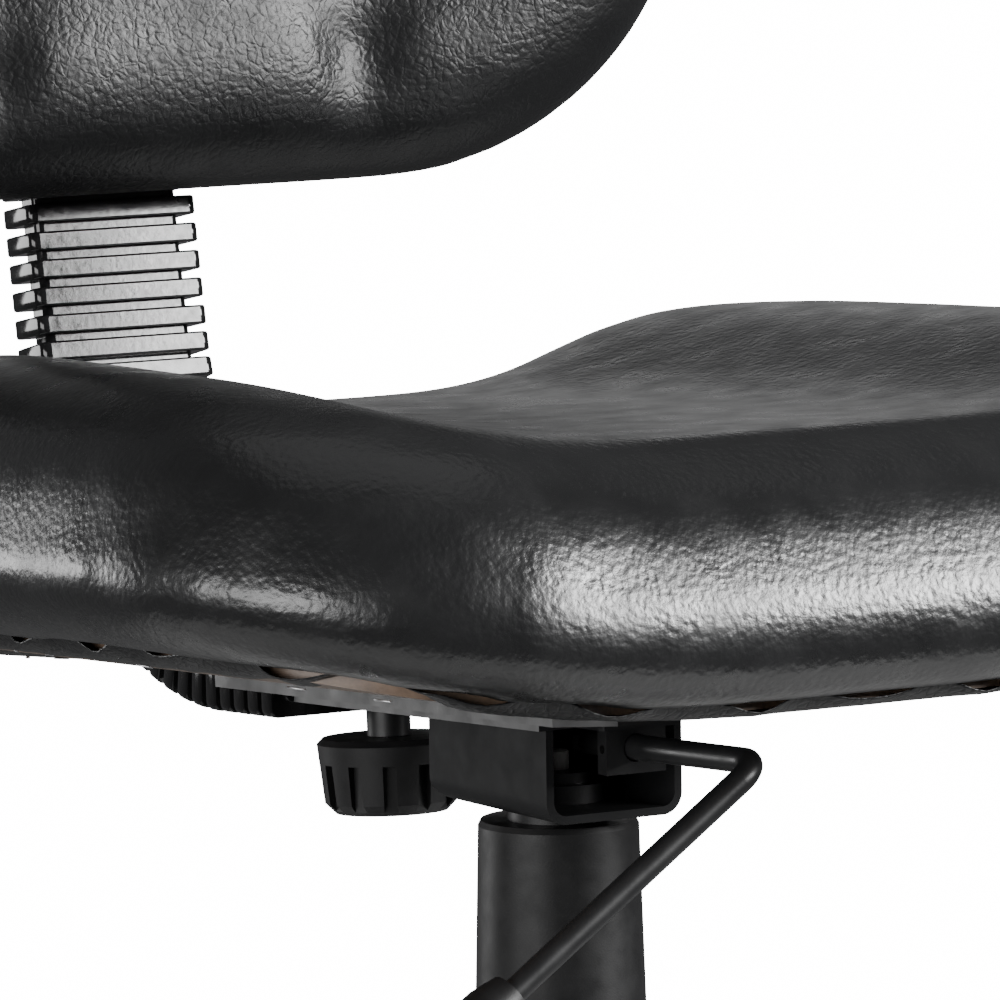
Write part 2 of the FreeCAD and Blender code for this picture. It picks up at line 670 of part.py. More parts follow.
def lever_grip():
    """Turned about Z with its mouth at 0, then laid along the lever's arm."""
    neck = GRIP_R - GRIP_NECK
    dome = GRIP_LENGTH - GRIP_R
    edges = [line(Vec(LEVER_R + SEAT_FIT, 0, 0), Vec(neck, 0, 0)),
             line(Vec(neck, 0, 0), Vec(GRIP_R, 0, GRIP_R)),
             line(Vec(GRIP_R, 0, GRIP_R), Vec(GRIP_R, 0, dome)),
             arc(Vec(GRIP_R, 0, dome), Vec(GRIP_R * math.sqrt(0.5), 0, dome + GRIP_R * math.sqrt(0.5)),
                 Vec(0, 0, GRIP_LENGTH)),
             line(Vec(0, 0, GRIP_LENGTH), Vec(0, 0, GRIP_SOCKET)),
             line(Vec(0, 0, GRIP_SOCKET), Vec(LEVER_R + SEAT_FIT, 0, GRIP_SOCKET)),
             line(Vec(LEVER_R + SEAT_FIT, 0, GRIP_SOCKET), Vec(LEVER_R + SEAT_FIT, 0, 0))]
    grip = Part.Face(Part.Wire(edges)).revolve(Vec(0, 0, 0), UP, 360)
    moved(grip, Vec(0, 0, LEVER_ARM))
    turned(grip, BACK, -(90.0 + LEVER_DROOP_DEG))
    moved(grip, Vec(0, -LEVER_FRONT, 0))
    turned(grip, RIGHT, -LEVER_RISE_DEG)
    return moved(grip, lever_pivot())


# Seat pan, cushion and their fasteners
def pan_under(x):
    """Height of the pan's lower face above the trough's underside."""
    return PLATE_TOP + bend_rise(x, PAN_FLAT, PAN_BEND_R)


def pan_top(x):
    return PLATE_TOP + PAN_T + bend_rise(x, PAN_FLAT, PAN_BEND_R - PAN_T)


def tee_nut(x, y, play):
    top = pan_top(x) - SLIDE_GAP
    barrel = cylinder(NUT_BARREL_R + play, pan_under(x), top, x, y)
    flange = cylinder(NUT_FLANGE_R + play, top - NUT_FLANGE_T, top + play, x, y)
    return fused([barrel, flange])


def tee_nuts():
    nuts = []
    for x, y in bolt_places():
        nut = tee_nut(x, y, 0.0)
        nuts.append(nut.cut(cylinder(BOLT_R + SEAT_FIT, 0, CUSHION_MIDDLE, x, y)))
    return seat_placed(Part.makeCompound(nuts))


def seat_bolts():
    bolts = []
    under = PLATE_TOP - PLATE_T
    for x, y in bolt_places():
        corners = [Vec(x + BOLT_HEAD_R * math.cos(a), y + BOLT_HEAD_R * math.sin(a), under - BOLT_HEAD_H)
                   for a in (math.radians(60 * i) for i in range(6))]
        head = polygon_face(corners).extrude(Vec(0, 0, BOLT_HEAD_H))
        shank = cylinder(BOLT_R, under, pan_top(x) - NUT_FLANGE_T - SLIDE_GAP, x, y)
        bolts.append(fused([head, shank]))
    return seat_placed(Part.makeCompound(bolts))


def pan_blank(inset, thickness):
    """Bent sheet cut to the seat's outline less an inset, lying on the tray."""
    outline = rounded_outline(SEAT_HALF_W - inset, SEAT_FRONT + inset, SEAT_REAR - inset,
                              SEAT_FRONT_R - inset, SEAT_REAR_R - inset)
    sheet = bent_sheet(SEAT_HALF_W, SEAT_FRONT, SEAT_REAR, thickness, PAN_FLAT, PAN_BEND_R)
    return moved(sheet.common(outline.extrude(Vec(0, 0, CUSHION_MIDDLE))), Vec(0, 0, PLATE_TOP))


def seat_pan():
    pan = pan_blank(PAN_INSET, PAN_T)
    for x, y in bolt_places():
        pan = pan.cut(tee_nut(x, y, SEAT_FIT))
        pan = pan.cut(cylinder(NUT_BARREL_R + SEAT_FIT, PLATE_TOP, pan_top(x) - NUT_FLANGE_T, x, y))
        recess = cylinder(NUT_FLANGE_R + SEAT_FIT, pan_top(x) - SLIDE_GAP, CUSHION_MIDDLE, x, y)
        pan = pan.cut(recess)
    return seat_placed(pan)


def seat_cushion():
    """Block between the pan's lower face and the dished top, edges rolled, with a pocket for the pan."""
    outline = rounded_outline(SEAT_HALF_W, SEAT_FRONT, SEAT_REAR, SEAT_FRONT_R, SEAT_REAR_R)
    reach = SEAT_HALF_W + PAN_INSET
    block = outline.extrude(Vec(0, 0, SEAT_HALF_W))
    low = bent_block(reach, SEAT_FRONT, SEAT_REAR, PLATE_TOP, PAN_FLAT, PAN_BEND_R)
    pad = block.common(low).cut(dished_block())
    pad = pad.makeFillet(TOP_EDGE_R, rim_edges(pad, 1))
    pad = pad.makeFillet(BOTTOM_EDGE_R, rim_edges(pad, -1))
    return seat_placed(pad.cut(pan_blank(PAN_INSET - SLIDE_GAP, PAN_T + SLIDE_GAP)))


# Back bar, guide and bellows
def bar_sweep(face, start, end):
    """Carry a face of the bar's section, drawn at the bend's start, round part of the bend."""
    piece = turned(face.copy(), RIGHT, start, BEND_CENTRE)
    return piece.revolve(BEND_CENTRE, RIGHT, end - start)


def flat_section(half_w, half_t, corner):
    """Section lying flat, with square corners where no corner radius is given."""
    if corner > 0:
        return rounded_outline(half_w, -half_t, half_t, corner, corner)
    low = Vec(-half_w, -half_t, 0)
    high = Vec(half_w, half_t, 0)
    return Part.Face(Part.makePolygon([low, Vec(high.x, low.y, 0), high, Vec(low.x, high.y, 0), low]))


def section_face(half_w, half_t, corner):
    """Section of the bar or the bellows at the start of the bend, facing along Y."""
    flat = flat_section(half_w, half_t, corner)
    turned(flat, RIGHT, 90)
    return moved(flat, Vec(0, BAR_BEND_Y, BAR_LEVEL))


def upright_face(half_w, half_t, corner, height):
    flat = flat_section(half_w, half_t, corner)
    return on_bar(moved(flat, Vec(0, 0, height)))


def along_upright(length):
    lean = math.radians(LOCAL_LEAN_DEG)
    return Vec(0, math.sin(lean), math.cos(lean)) * length


def back_bar():
    half_t = BAR_T / 2
    level = section_face(BAR_HALF_W, half_t, BAR_CORNER).extrude(Vec(0, BAR_FRONT - BAR_BEND_Y, 0))
    bend = bar_sweep(section_face(BAR_HALF_W, half_t, BAR_CORNER), 0, BEND_SWEEP_DEG)
    upright = upright_face(BAR_HALF_W, half_t, BAR_CORNER, 0).extrude(along_upright(BAR_UPRIGHT))
    return seat_placed(fused([level, bend, upright]))


def rib_starts(length):
    """Starts of the ribs on a stretch of the bellows, evenly spaced at about the rib pitch."""
    count = max(int(round(length / RIB_PITCH)), 1)
    pitch = length / count
    return [pitch * index + (pitch - RIB_T) / 2 for index in range(count)]


def bellows():
    """Rubber sleeve with square ribs: a collar under the seat, a level run, the bend and the upright."""
    groove_w = BELLOWS_HALF_W - BELLOWS_GROOVE
    groove_t = BELLOWS_HALF_T - BELLOWS_GROOVE
    bore_w = BAR_HALF_W + SLIDE_GAP
    bore_t = BAR_T / 2 + SLIDE_GAP
    corner = BELLOWS_CORNER_R
    level = BAR_BEND_Y - COLLAR_END
    per_mm = math.degrees(1.0 / BAR_BEND_R)
    collar = section_face(bore_w + BELLOWS_WALL, bore_t + BELLOWS_WALL, BAR_CORNER)
    groove = section_face(groove_w, groove_t, 0)
    solids = [collar.extrude(Vec(0, COLLAR_START - BAR_BEND_Y, 0)), groove.extrude(Vec(0, -level, 0))]
    solids.append(bar_sweep(groove, 0, BEND_SWEEP_DEG))
    solids.append(upright_face(groove_w, groove_t, 0, 0).extrude(along_upright(BELLOWS_UPRIGHT)))
    rib = section_face(BELLOWS_HALF_W, BELLOWS_HALF_T, corner)
    for start in rib_starts(level):
        solids.append(moved(rib.extrude(Vec(0, RIB_T, 0)), Vec(0, start - level, 0)))
    block = rib.extrude(Vec(0, RIB_T, 0))
    for start in rib_starts(BEND_SWEEP_DEG / per_mm):
        middled = moved(block.copy(), Vec(0, -RIB_T / 2, 0))
        solids.append(turned(middled, RIGHT, (start + RIB_T / 2) * per_mm, BEND_CENTRE))
    for start in rib_starts(BELLOWS_UPRIGHT):
        face = upright_face(BELLOWS_HALF_W, BELLOWS_HALF_T, corner, start)
        solids.append(face.extrude(along_upright(RIB_T)))
    sleeve = fused(solids)
    bore = section_face(bore_w, bore_t, 0)
    bores = [bore.extrude(Vec(0, COLLAR_START - BAR_BEND_Y, 0)), bar_sweep(bore, 0, BEND_SWEEP_DEG)]
    bores.append(upright_face(bore_w, bore_t, 0, 0).extrude(along_upright(BELLOWS_UPRIGHT)))
    return seat_placed(sleeve.cut(fused(bores)))


def bar_guide():
    """Liner bent over the bar, which keeps it down on the trough's floor as it slides."""
    inner_w = BAR_HALF_W + GUIDE_GAP
    outer_w = inner_w + GUIDE_WALL - SEAT_FIT
    inner_top = BAR_LEVEL + BAR_T / 2 + GUIDE_GAP
    outer = box(Vec(-outer_w, GUIDE_START, PLATE_T), Vec(outer_w, GUIDE_END, inner_top + GUIDE_WALL))
    slot = box(Vec(-inner_w, GUIDE_START, PLATE_T), Vec(inner_w, GUIDE_END, inner_top))
    return seat_placed(outer.cut(slot))


# Clamp knobs: made with the stud pointing up and the top face at 0
def knob_handle(radius, height):
    foot_r = radius * KNOB_TAPER
    edge = KNOB_EDGE_R
    profile = [(0, 0), (radius - edge / 2, 0), (radius, -edge / 2), (foot_r, edge - height),
               (foot_r - edge, -height), (0, -height)]
    handle = revolved(profile)
    slots = []
    for index in range(KNOB_SLOTS):
        slot = box(Vec(foot_r - SLOT_DEPTH, -SLOT_W / 2, -height), Vec(2 * radius, SLOT_W / 2, -SLOT_START))
        slots.append(spun(slot, KNOB_SLOTS, index))
    handle = handle.cut(Part.makeCompound(slots))
    return handle.cut(cylinder(STUD_R + SEAT_FIT, -height / 2, 0))


def knob_stud(height, length):
    return cylinder(STUD_R, -height / 2, length)


def depth_knob_place(shape):
    return seat_placed(moved(shape, Vec(0, KNOB_Y, -KNOB_DROP - SLIDE_GAP)))


def depth_stud_length():
    """From the knob's top face to just under the bar."""
    return KNOB_DROP + SLIDE_GAP + BAR_LEVEL - BAR_T / 2 - RUN_FIT


# Backrest: bracket, shell, cushion, bolts and height knob
def bracket_rear():
    return BAR_T / 2 + GUIDE_GAP + BRACKET_WALL


def bracket_low():
    return BELLOWS_UPRIGHT + SLIDE_GAP


def back_bracket():
    low = bracket_low()
    inner_w = BAR_HALF_W + GUIDE_GAP
    inner_t = BAR_T / 2 + GUIDE_GAP
    back_face = FLANGE_T - FLANGE_FRONT
    body = box(Vec(-BRACKET_HALF_W, back_face, low), Vec(BRACKET_HALF_W, bracket_rear(), low + BRACKET_LENGTH))
    flange = box(Vec(-FLANGE_HALF_W, -FLANGE_FRONT, low), Vec(FLANGE_HALF_W, back_face, low + FLANGE_LENGTH))
    corners = [edge for edge in flange.Edges if abs(abs(edge.CenterOfMass.x) - FLANGE_HALF_W) < 1e-6
               and abs(edge.CenterOfMass.y - (back_face - FLANGE_FRONT) / 2) < 1e-6]
    flange = flange.makeFillet(FLANGE_T * 3, corners)
    middle = low + BRACKET_LENGTH / 2
    boss = Part.makeCylinder(BOSS_R, SMALL_DROP, Vec(0, bracket_rear(), middle), BACK)
    slot = box(Vec(-inner_w, -inner_t, low), Vec(inner_w, inner_t, low + FLANGE_LENGTH))
    hole = Part.makeCylinder(STUD_R + RUN_FIT, 2 * SMALL_DROP, Vec(0, 0, middle), BACK)
    whole = fused([body, flange, boss]).cut(slot).cut(hole)
    for x, z in back_bolt_places():
        whole = whole.cut(Part.makeCylinder(BOLT_R + RUN_FIT, FLANGE_T, Vec(x, -FLANGE_FRONT, z), BACK))
    return back_placed(whole)


def back_bolt_places():
    return [(side * BACK_BOLT_X, bracket_low() + z) for side in (-1, 1) for z in (BACK_BOLT_LOW, BACK_BOLT_HIGH)]


def back_bolts():
    bolts = []
    for x, z in back_bolt_places():
        head = Part.makeCylinder(BOLT_HEAD_R, BOLT_HEAD_H, Vec(x, FLANGE_T - FLANGE_FRONT, z), BACK)
        reach = FLANGE_T + SHELL_T
        shank = Part.makeCylinder(BOLT_R, reach, Vec(x, FLANGE_T - FLANGE_FRONT - reach, z), BACK)
        bolts.append(fused([head, shank]))
    return back_placed(Part.makeCompound(bolts))


def back_shell():
    """Bent panel behind the cushion, drawn flat with its height along Y and then stood up."""
    low = BACK_BOTTOM + SHELL_INSET
    high = BACK_BOTTOM + BACK_HEIGHT - SHELL_INSET
    corner = BACK_CORNER_R - SHELL_INSET
    outline = rounded_outline(BACK_HALF_W - SHELL_INSET, low, high, corner, corner)
    sheet = bent_sheet(BACK_HALF_W, BACK_BOTTOM, BACK_BOTTOM + BACK_HEIGHT, SHELL_T, SHELL_FLAT, SHELL_BEND_R)
    panel = sheet.common(outline.extrude(Vec(0, 0, BACK_PAD_T)))
    turned(panel, RIGHT, 90)
    panel = moved(panel, Vec(0, -FLANGE_FRONT, 0))
    for x, z in back_bolt_places():
        reach = SHELL_T + FLANGE_FRONT
        panel = panel.cut(Part.makeCylinder(BOLT_R + SEAT_FIT, reach, Vec(x, -reach, z), BACK))
    return back_placed(panel)


def back_cushion():
    """Padding on the shell, drawn flat like it: rolled edges and a channel either side of the lumbar panel."""
    high = BACK_BOTTOM + BACK_HEIGHT
    outline = rounded_outline(BACK_HALF_W, BACK_BOTTOM, high, BACK_CORNER_R, BACK_CORNER_R)
    reach = BACK_HALF_W + SHELL_INSET
    rear = SHELL_T + SLIDE_GAP
    front = rear + BACK_PAD_T
    block = outline.extrude(Vec(0, 0, BACK_HALF_W))
    behind = bent_block(reach, BACK_BOTTOM, high, rear, SHELL_FLAT, SHELL_BEND_R - SHELL_T)
    ahead = bent_block(reach, BACK_BOTTOM, high, front, SHELL_FLAT, BACK_FRONT_R)
    pad = block.common(behind).cut(ahead)
    pad = pad.makeFillet(BACK_EDGE_R, rim_edges(pad, 1))
    pad = pad.makeFillet(BACK_HEM_R, rim_edges(pad, -1))
    for side in (-1, 1):
        middle = front - PAD_CHANNEL_DEPTH + PAD_CHANNEL_R
        groove = Part.makeCylinder(PAD_CHANNEL_R, BACK_HEIGHT, Vec(side * PAD_CHANNEL_X, BACK_BOTTOM, middle), BACK)
        pad = pad.cut(groove)
    turned(pad, RIGHT, 90)
    return back_placed(moved(pad, Vec(0, -FLANGE_FRONT, 0)))


def back_knob_place(shape):
    turned(shape, RIGHT, 90)
    rear = bracket_rear() + SMALL_DROP + SLIDE_GAP
    return back_placed(moved(shape, Vec(0, rear, bracket_low() + BRACKET_LENGTH / 2)))


def back_stud_length():
    return bracket_rear() + SMALL_DROP + SLIDE_GAP - BAR_T / 2 - SLIDE_GAP


# Star base
def arm_section(r, half_w, top, low, bevel):
    return Part.makePolygon([Vec(-half_w, -r, low), Vec(half_w, -r, low), Vec(half_w, -r, top - bevel),
                             Vec(half_w - bevel, -r, top), Vec(bevel - half_w, -r, top),
                             Vec(-half_w, -r, top - bevel), Vec(-half_w, -r, low)])


def base_arm():
    """One arm, pointing to the front: a bevelled channel open below, with cross ribs."""
    root = HUB_R / 2
    outer = Part.makeLoft([arm_section(root, ARM_ROOT_HALF_W, ARM_ROOT_TOP, ARM_BOTTOM, ARM_BEVEL),
                           arm_section(ARM_REACH, ARM_TIP_HALF_W, ARM_TIP_TOP, ARM_BOTTOM, ARM_BEVEL)], True, True)
    under = ARM_BOTTOM - ARM_WALL
    bevel = ARM_BEVEL - ARM_WALL / 2
    start = HUB_R - ARM_WALL
    hollow = Part.makeLoft([arm_section(start, ARM_ROOT_HALF_W - ARM_WALL, ARM_ROOT_TOP - ARM_WALL, under, bevel),
                            arm_section(ARM_REACH, ARM_TIP_HALF_W - ARM_WALL, ARM_TIP_TOP - ARM_WALL, under, bevel)],
                           True, True)
    step = (ARM_REACH - HUB_R) / (ARM_RIBS + 1)
    for index in range(ARM_RIBS):
        y = -(HUB_R + step * (index + 1))
        rib = box(Vec(-ARM_ROOT_HALF_W, y - ARM_RIB_T / 2, ARM_BOTTOM + ARM_WALL),
                  Vec(ARM_ROOT_HALF_W, y + ARM_RIB_T / 2, ARM_ROOT_TOP))
        hollow = hollow.cut(rib)
    return outer, hollow


def star_base():
    outer, hollow = base_arm()
    bevel = ARM_BEVEL
    hub = revolved([(0, HUB_BOTTOM), (HUB_R, HUB_BOTTOM), (HUB_R, HUB_TOP - bevel), (HUB_R - bevel, HUB_TOP),
                    (0, HUB_TOP)])
    tip = revolved([(0, BOSS_BOTTOM), (BOSS_TIP_R, BOSS_BOTTOM), (BOSS_TIP_R, ARM_TIP_TOP - bevel),
                    (BOSS_TIP_R - bevel, ARM_TIP_TOP), (0, ARM_TIP_TOP)])
    moved(tip, Vec(0, -ARM_REACH, 0))
    hollow = hollow.cut(tip)
    socket = cylinder(STEM_R + RUN_FIT, BOSS_BOTTOM, BOSS_BOTTOM + SOCKET_DEPTH - bevel, 0, -ARM_REACH)
    solids = [hub]
    for index in range(ARMS):
        arm = fused([outer, tip]).cut(hollow).cut(socket)
        solids.append(spun(arm, ARMS, index))
    whole = fused(solids)
    foot_r = TUBE_R - drift(HUB_TOP - TUBE_BOTTOM, TAPER_DEG) + SEAT_FIT
    taper = revolved([(0, TUBE_BOTTOM), (foot_r, TUBE_BOTTOM), (TUBE_R + SEAT_FIT, HUB_TOP), (0, HUB_TOP)])
    return whole.cut(taper)


# Casters: made with the stem on the Z axis, the wheels trailing to +Y
def caster_yoke():
    axle = Vec(0, TRAIL, WHEEL_R)
    web = Part.makeCylinder(WEB_R, 2 * WEB_HALF_T, axle - RIGHT * WEB_HALF_T, RIGHT)
    inner_r = WHEEL_R + HOOD_GAP
    half_w = WEB_HALF_T + WHEEL_GAP + WHEEL_W
    low = Vec(-half_w, TRAIL, WHEEL_R)
    sweep = HOOD_TO_DEG - HOOD_FROM_DEG
    outer = Part.makeCylinder(inner_r + HOOD_T, 2 * half_w, low, RIGHT, sweep)
    inner = Part.makeCylinder(inner_r, 2 * half_w, low, RIGHT, sweep)
    hood = turned(outer.cut(inner), RIGHT, hood_start(), axle)
    spine = Part.makeCylinder(inner_r + HOOD_T / 2, 2 * WEB_HALF_T, axle - RIGHT * WEB_HALF_T, RIGHT, sweep)
    spine = turned(spine, RIGHT, hood_start(), axle)
    boss = cylinder(YOKE_BOSS_R, WHEEL_R + WEB_R, BOSS_BOTTOM - YOKE_GAP)
    wheels = Part.makeCylinder(WHEEL_R + HOOD_GAP, 2 * half_w, low, RIGHT)
    core = Part.makeCylinder(WHEEL_R + HOOD_GAP, 2 * WEB_HALF_T, axle - RIGHT * WEB_HALF_T, RIGHT)
    boss = boss.cut(wheels.cut(core))
    whole = fused([web, spine, hood, boss])
    whole = whole.cut(Part.makeCylinder(AXLE_R + SEAT_FIT, 2 * WEB_HALF_T, axle - RIGHT * WEB_HALF_T, RIGHT))
    return whole.cut(cylinder(STEM_R + SEAT_FIT, BOSS_BOTTOM - YOKE_BOSS_R, BOSS_BOTTOM))


def hood_start():
    """Turn from a cylinder's own start to the hood's lower rear edge."""
    probe = Part.makeCylinder(1, 1, Vec(0, 0, 0), RIGHT, 90).CenterOfMass
    return HOOD_FROM_DEG + 45.0 - math.degrees(math.atan2(probe.z, probe.y))


def caster_pins():
    stem = cylinder(STEM_R, BOSS_BOTTOM - YOKE_BOSS_R + SEAT_FIT, BOSS_BOTTOM + SOCKET_DEPTH - ARM_BEVEL - SLIDE_GAP)
    half = WEB_HALF_T + WHEEL_GAP + AXLE_DEPTH - SLIDE_GAP
    axle = Part.makeCylinder(AXLE_R, 2 * half, Vec(-half, TRAIL, WHEEL_R), RIGHT)
    return Part.makeCompound([stem, axle])


def caster_wheel(side):
    """Tyre and disc in one, with a blind hole for the axle, turned about its own axis."""
    face = WHEEL_W
    profile = [(AXLE_R + RUN_FIT, 0), (WHEEL_R - WHEEL_CHAMFER, 0), (WHEEL_R, WHEEL_CHAMFER),
               (WHEEL_R, face - WHEEL_CHAMFER), (WHEEL_R - WHEEL_CHAMFER, face),
               (WHEEL_R - WHEEL_RIM, face), (WHEEL_R - WHEEL_RIM - WHEEL_DISH, face - WHEEL_DISH),
               (AXLE_R + WHEEL_RIM, face - WHEEL_DISH), (AXLE_R + WHEEL_DISH, face - WHEEL_DISH / 2),
               (0, face - WHEEL_DISH / 2), (0, AXLE_DEPTH), (AXLE_R + RUN_FIT, AXLE_DEPTH)]
    wheel = revolved(profile)
    turned(wheel, BACK, 90.0 * side)
    return moved(wheel, Vec(side * (WEB_HALF_T + WHEEL_GAP), TRAIL, WHEEL_R))


def caster_placed(shape, index):
    """Trail to one side of the arm, then go out to the arm's end."""
    turned(shape, UP, CASTER_TURN_DEG)
    moved(shape, Vec(0, -ARM_REACH, 0))
    return spun(shape, ARMS, index)



# Foot ring
def foot_ring_solid():
    return Part.makeTorus(FOOT_RING_R, FOOT_TUBE_R, Vec(0, 0, FOOT_Z - FOOT_SPOKE_FALL), UP)


def foot_ring():
    bore = Part.makeTorus(FOOT_RING_R, FOOT_TUBE_R - FOOT_TUBE_WALL, Vec(0, 0, FOOT_Z - FOOT_SPOKE_FALL), UP)
    return foot_ring_solid().cut(bore)


def foot_hub_blank():
    low = FOOT_Z - FOOT_HUB_H / 2
    return cylinder(FOOT_HUB_R, low, low + FOOT_HUB_H)


def foot_spokes():
    start = Vec(0, 0, FOOT_Z)
    end = Vec(FOOT_RING_R, 0, FOOT_Z - FOOT_SPOKE_FALL)
    rod = Part.makeCylinder(FOOT_SPOKE_R, (end - start).Length, start, end - start)
    rod = rod.cut(foot_hub_blank()).cut(foot_ring_solid())
    rod = max(rod.Solids, key=lambda solid: solid.Volume)
    turned(rod, UP, 180.0 / FOOT_SPOKES)
    return Part.makeCompound([spun(rod, FOOT_SPOKES, index) for index in range(FOOT_SPOKES)])


def foot_knob_reach():
    return FOOT_HUB_R + SMALL_DROP


def foot_hub():
    low = FOOT_Z - FOOT_HUB_H / 2
    boss = Part.makeCylinder(BOSS_R, foot_knob_reach(), Vec(0, 0, FOOT_Z), Vec(0, -1, 0))
    hole = Part.makeCylinder(STUD_R + RUN_FIT, foot_knob_reach(), Vec(0, 0, FOOT_Z), Vec(0, -1, 0))
    sleeve = fused([foot_hub_blank(), boss])
    sleeve = sleeve.cut(cylinder(TUBE_R + SLIDE_GAP, low, low + FOOT_HUB_H))
    return sleeve.cut(hole)


def foot_knob_place(shape):
    turned(shape, RIGHT, -90)
    return moved(shape, Vec(0, -foot_knob_reach() - SLIDE_GAP, FOOT_Z))


def foot_stud_length():
    return foot_knob_reach() + SLIDE_GAP - TUBE_R - 2 * SLIDE_GAP


export("column_tube", column_tube())
export("guide_bush", guide_bush())
export("thrust_bearing", thrust_bearing())
export("piston_rod", piston_rod())
export("rod_clip", rod_clip())
export("pressure_cylinder", pressure_cylinder())
export("release_button", release_button())
export("upper_cover", upper_cover())
export("middle_cover", middle_cover())
export("lower_cover", lower_cover())
export("taper_socket", taper_socket())
export("seat_channel", seat_channel())
export("mount_plate", mount_plate())
export("lever_saddle", lever_saddle())
export("lever_rod", lever_rod())
export("lever_grip", lever_grip())
export("seat_bolts", seat_bolts())
export("tee_nuts", tee_nuts())
export("seat_pan", seat_pan())
export("seat_cushion", seat_cushion())
export("back_bar", back_bar())
export("bellows", bellows())
export("bar_guide", bar_guide())
export("depth_knob", depth_knob_place(knob_handle(KNOB_R, KNOB_H)))
export("depth_stud", depth_knob_place(knob_stud(KNOB_H, depth_stud_length())))
export("back_bracket", back_bracket())
export("back_bolts", back_bolts())
export("back_shell", back_shell())
export("back_cushion", back_cushion())
export("back_knob", back_knob_place(knob_handle(SMALL_KNOB_R, SMALL_KNOB_H)))
export("back_stud", back_knob_place(knob_stud(SMALL_KNOB_H, back_stud_length())))
export("star_base", star_base())
export("foot_ring", foot_ring())
export("foot_spokes", foot_spokes())
export("foot_hub", foot_hub())
export("foot_knob", foot_knob_place(knob_handle(SMALL_KNOB_R, SMALL_KNOB_H)))
export("foot_stud", foot_knob_place(knob_stud(SMALL_KNOB_H, foot_stud_length())))
for number in range(ARMS):
    name = "caster_%d_" % (number + 1)
    export(name + "yoke", caster_placed(caster_yoke(), number))
    export(name + "pins", caster_placed(caster_pins(), number))
    export(name + "wheel_left", caster_placed(caster_wheel(-1), number))
    export(name + "wheel_right", caster_placed(caster_wheel(1), number))
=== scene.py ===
import math

import bmesh
import bpy
from mathutils import Matrix, Vector


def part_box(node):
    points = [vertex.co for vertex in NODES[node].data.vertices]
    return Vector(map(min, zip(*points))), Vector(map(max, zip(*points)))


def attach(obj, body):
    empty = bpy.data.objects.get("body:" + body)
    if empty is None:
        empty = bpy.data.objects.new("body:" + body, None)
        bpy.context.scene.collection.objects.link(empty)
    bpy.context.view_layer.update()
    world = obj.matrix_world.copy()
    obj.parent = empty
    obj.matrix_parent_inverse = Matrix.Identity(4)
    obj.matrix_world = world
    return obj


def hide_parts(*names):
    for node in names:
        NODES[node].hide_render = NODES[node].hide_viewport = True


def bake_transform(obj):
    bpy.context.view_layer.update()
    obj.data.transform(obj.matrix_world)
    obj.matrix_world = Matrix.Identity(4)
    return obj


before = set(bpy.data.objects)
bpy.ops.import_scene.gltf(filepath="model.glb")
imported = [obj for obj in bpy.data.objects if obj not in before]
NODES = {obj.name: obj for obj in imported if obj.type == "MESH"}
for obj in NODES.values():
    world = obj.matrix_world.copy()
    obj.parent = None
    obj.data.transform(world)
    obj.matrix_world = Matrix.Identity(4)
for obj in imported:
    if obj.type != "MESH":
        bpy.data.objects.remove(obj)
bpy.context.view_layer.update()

bl_info = {
    "name": "Drafting Stool Dressing",
    "version": (1, 0, 0),
    "blender": (4, 5, 0),
    "location": "3D View > Sidebar > Stool",
    "description": "Upholstery, bellows, finishes and studio for the packed drafting stool",
    "category": "Object",
}

# Seat frame: the tray, pan, cushion and bar lean back together about this point
SEAT_ORIGIN = Vector((0.0, 0.0, 0.6515))
SEAT_TILT = math.radians(3.0)
SEAT_MATRIX = Matrix.Translation(SEAT_ORIGIN) @ Matrix.Rotation(-SEAT_TILT, 4, "X")

# Lower face of the pan in the seat frame: flat in the middle, bent up at both sides
PAN_LEVEL = 0.0185
PAN_FLAT = 0.040
PAN_R = 0.600
SLOPE_STEP = 0.001

# Bar line in the seat frame
BAR_LEVEL = 0.0057
BEND_START = 0.1855
BEND_R = 0.140
BEND_SWEEP = math.radians(82.5)
BEND_CENTRE = Vector((0.0, BEND_START, BAR_LEVEL + BEND_R))
UPRIGHT = Vector((0.0, math.cos(BEND_SWEEP), math.sin(BEND_SWEEP)))

# Bellows: rounded corners of the core and ribs, and the small bevel on their rims
CORE_CORNER = 0.003
RIB_CORNER = 0.0035
RIM_BEVEL = 0.0008
RIM_ANGLE = math.radians(60)
RIB_FLAT_AREA = 1.2e-4
BEND_STEPS = 28

# Pads: how far the vinyl is drawn in, and the distance over which it comes free of its board
WELD = 1e-5
PAD_ROUNDS = 6
DRAWN_IN = 0.003
HELD_FADE = 0.03
CLOTH = {"quality": 4, "mass": 0.4, "tension_stiffness": 25.0, "compression_stiffness": 25.0,
         "shear_stiffness": 10.0, "bending_stiffness": 2.0, "air_damping": 4.0}
CLOTH_FRAMES = 20

# Seat pad: held up to a height above the pan, and filled out low on the near side
SEAT_HELD = 0.012
SEAT_ROUNDS = 9
BULGE = 0.005
BULGE_RISE = 0.018
BULGE_SPREAD = 0.013

# Back pad: held within a depth of the leaning shell, with its channels moved to the left
SHELL_LEAN = 0.185
SHELL_LEAN_BACK = 0.05
BACK_HELD = 0.075
BACK_ROUNDS = 3
CHANNEL_SHIFT = 0.009
CHANNEL_SPREAD = 0.16
CHANNEL_ROUNDS = 34
CHANNEL_REACH = 0.125
CHANNEL_FOOT = 0.055

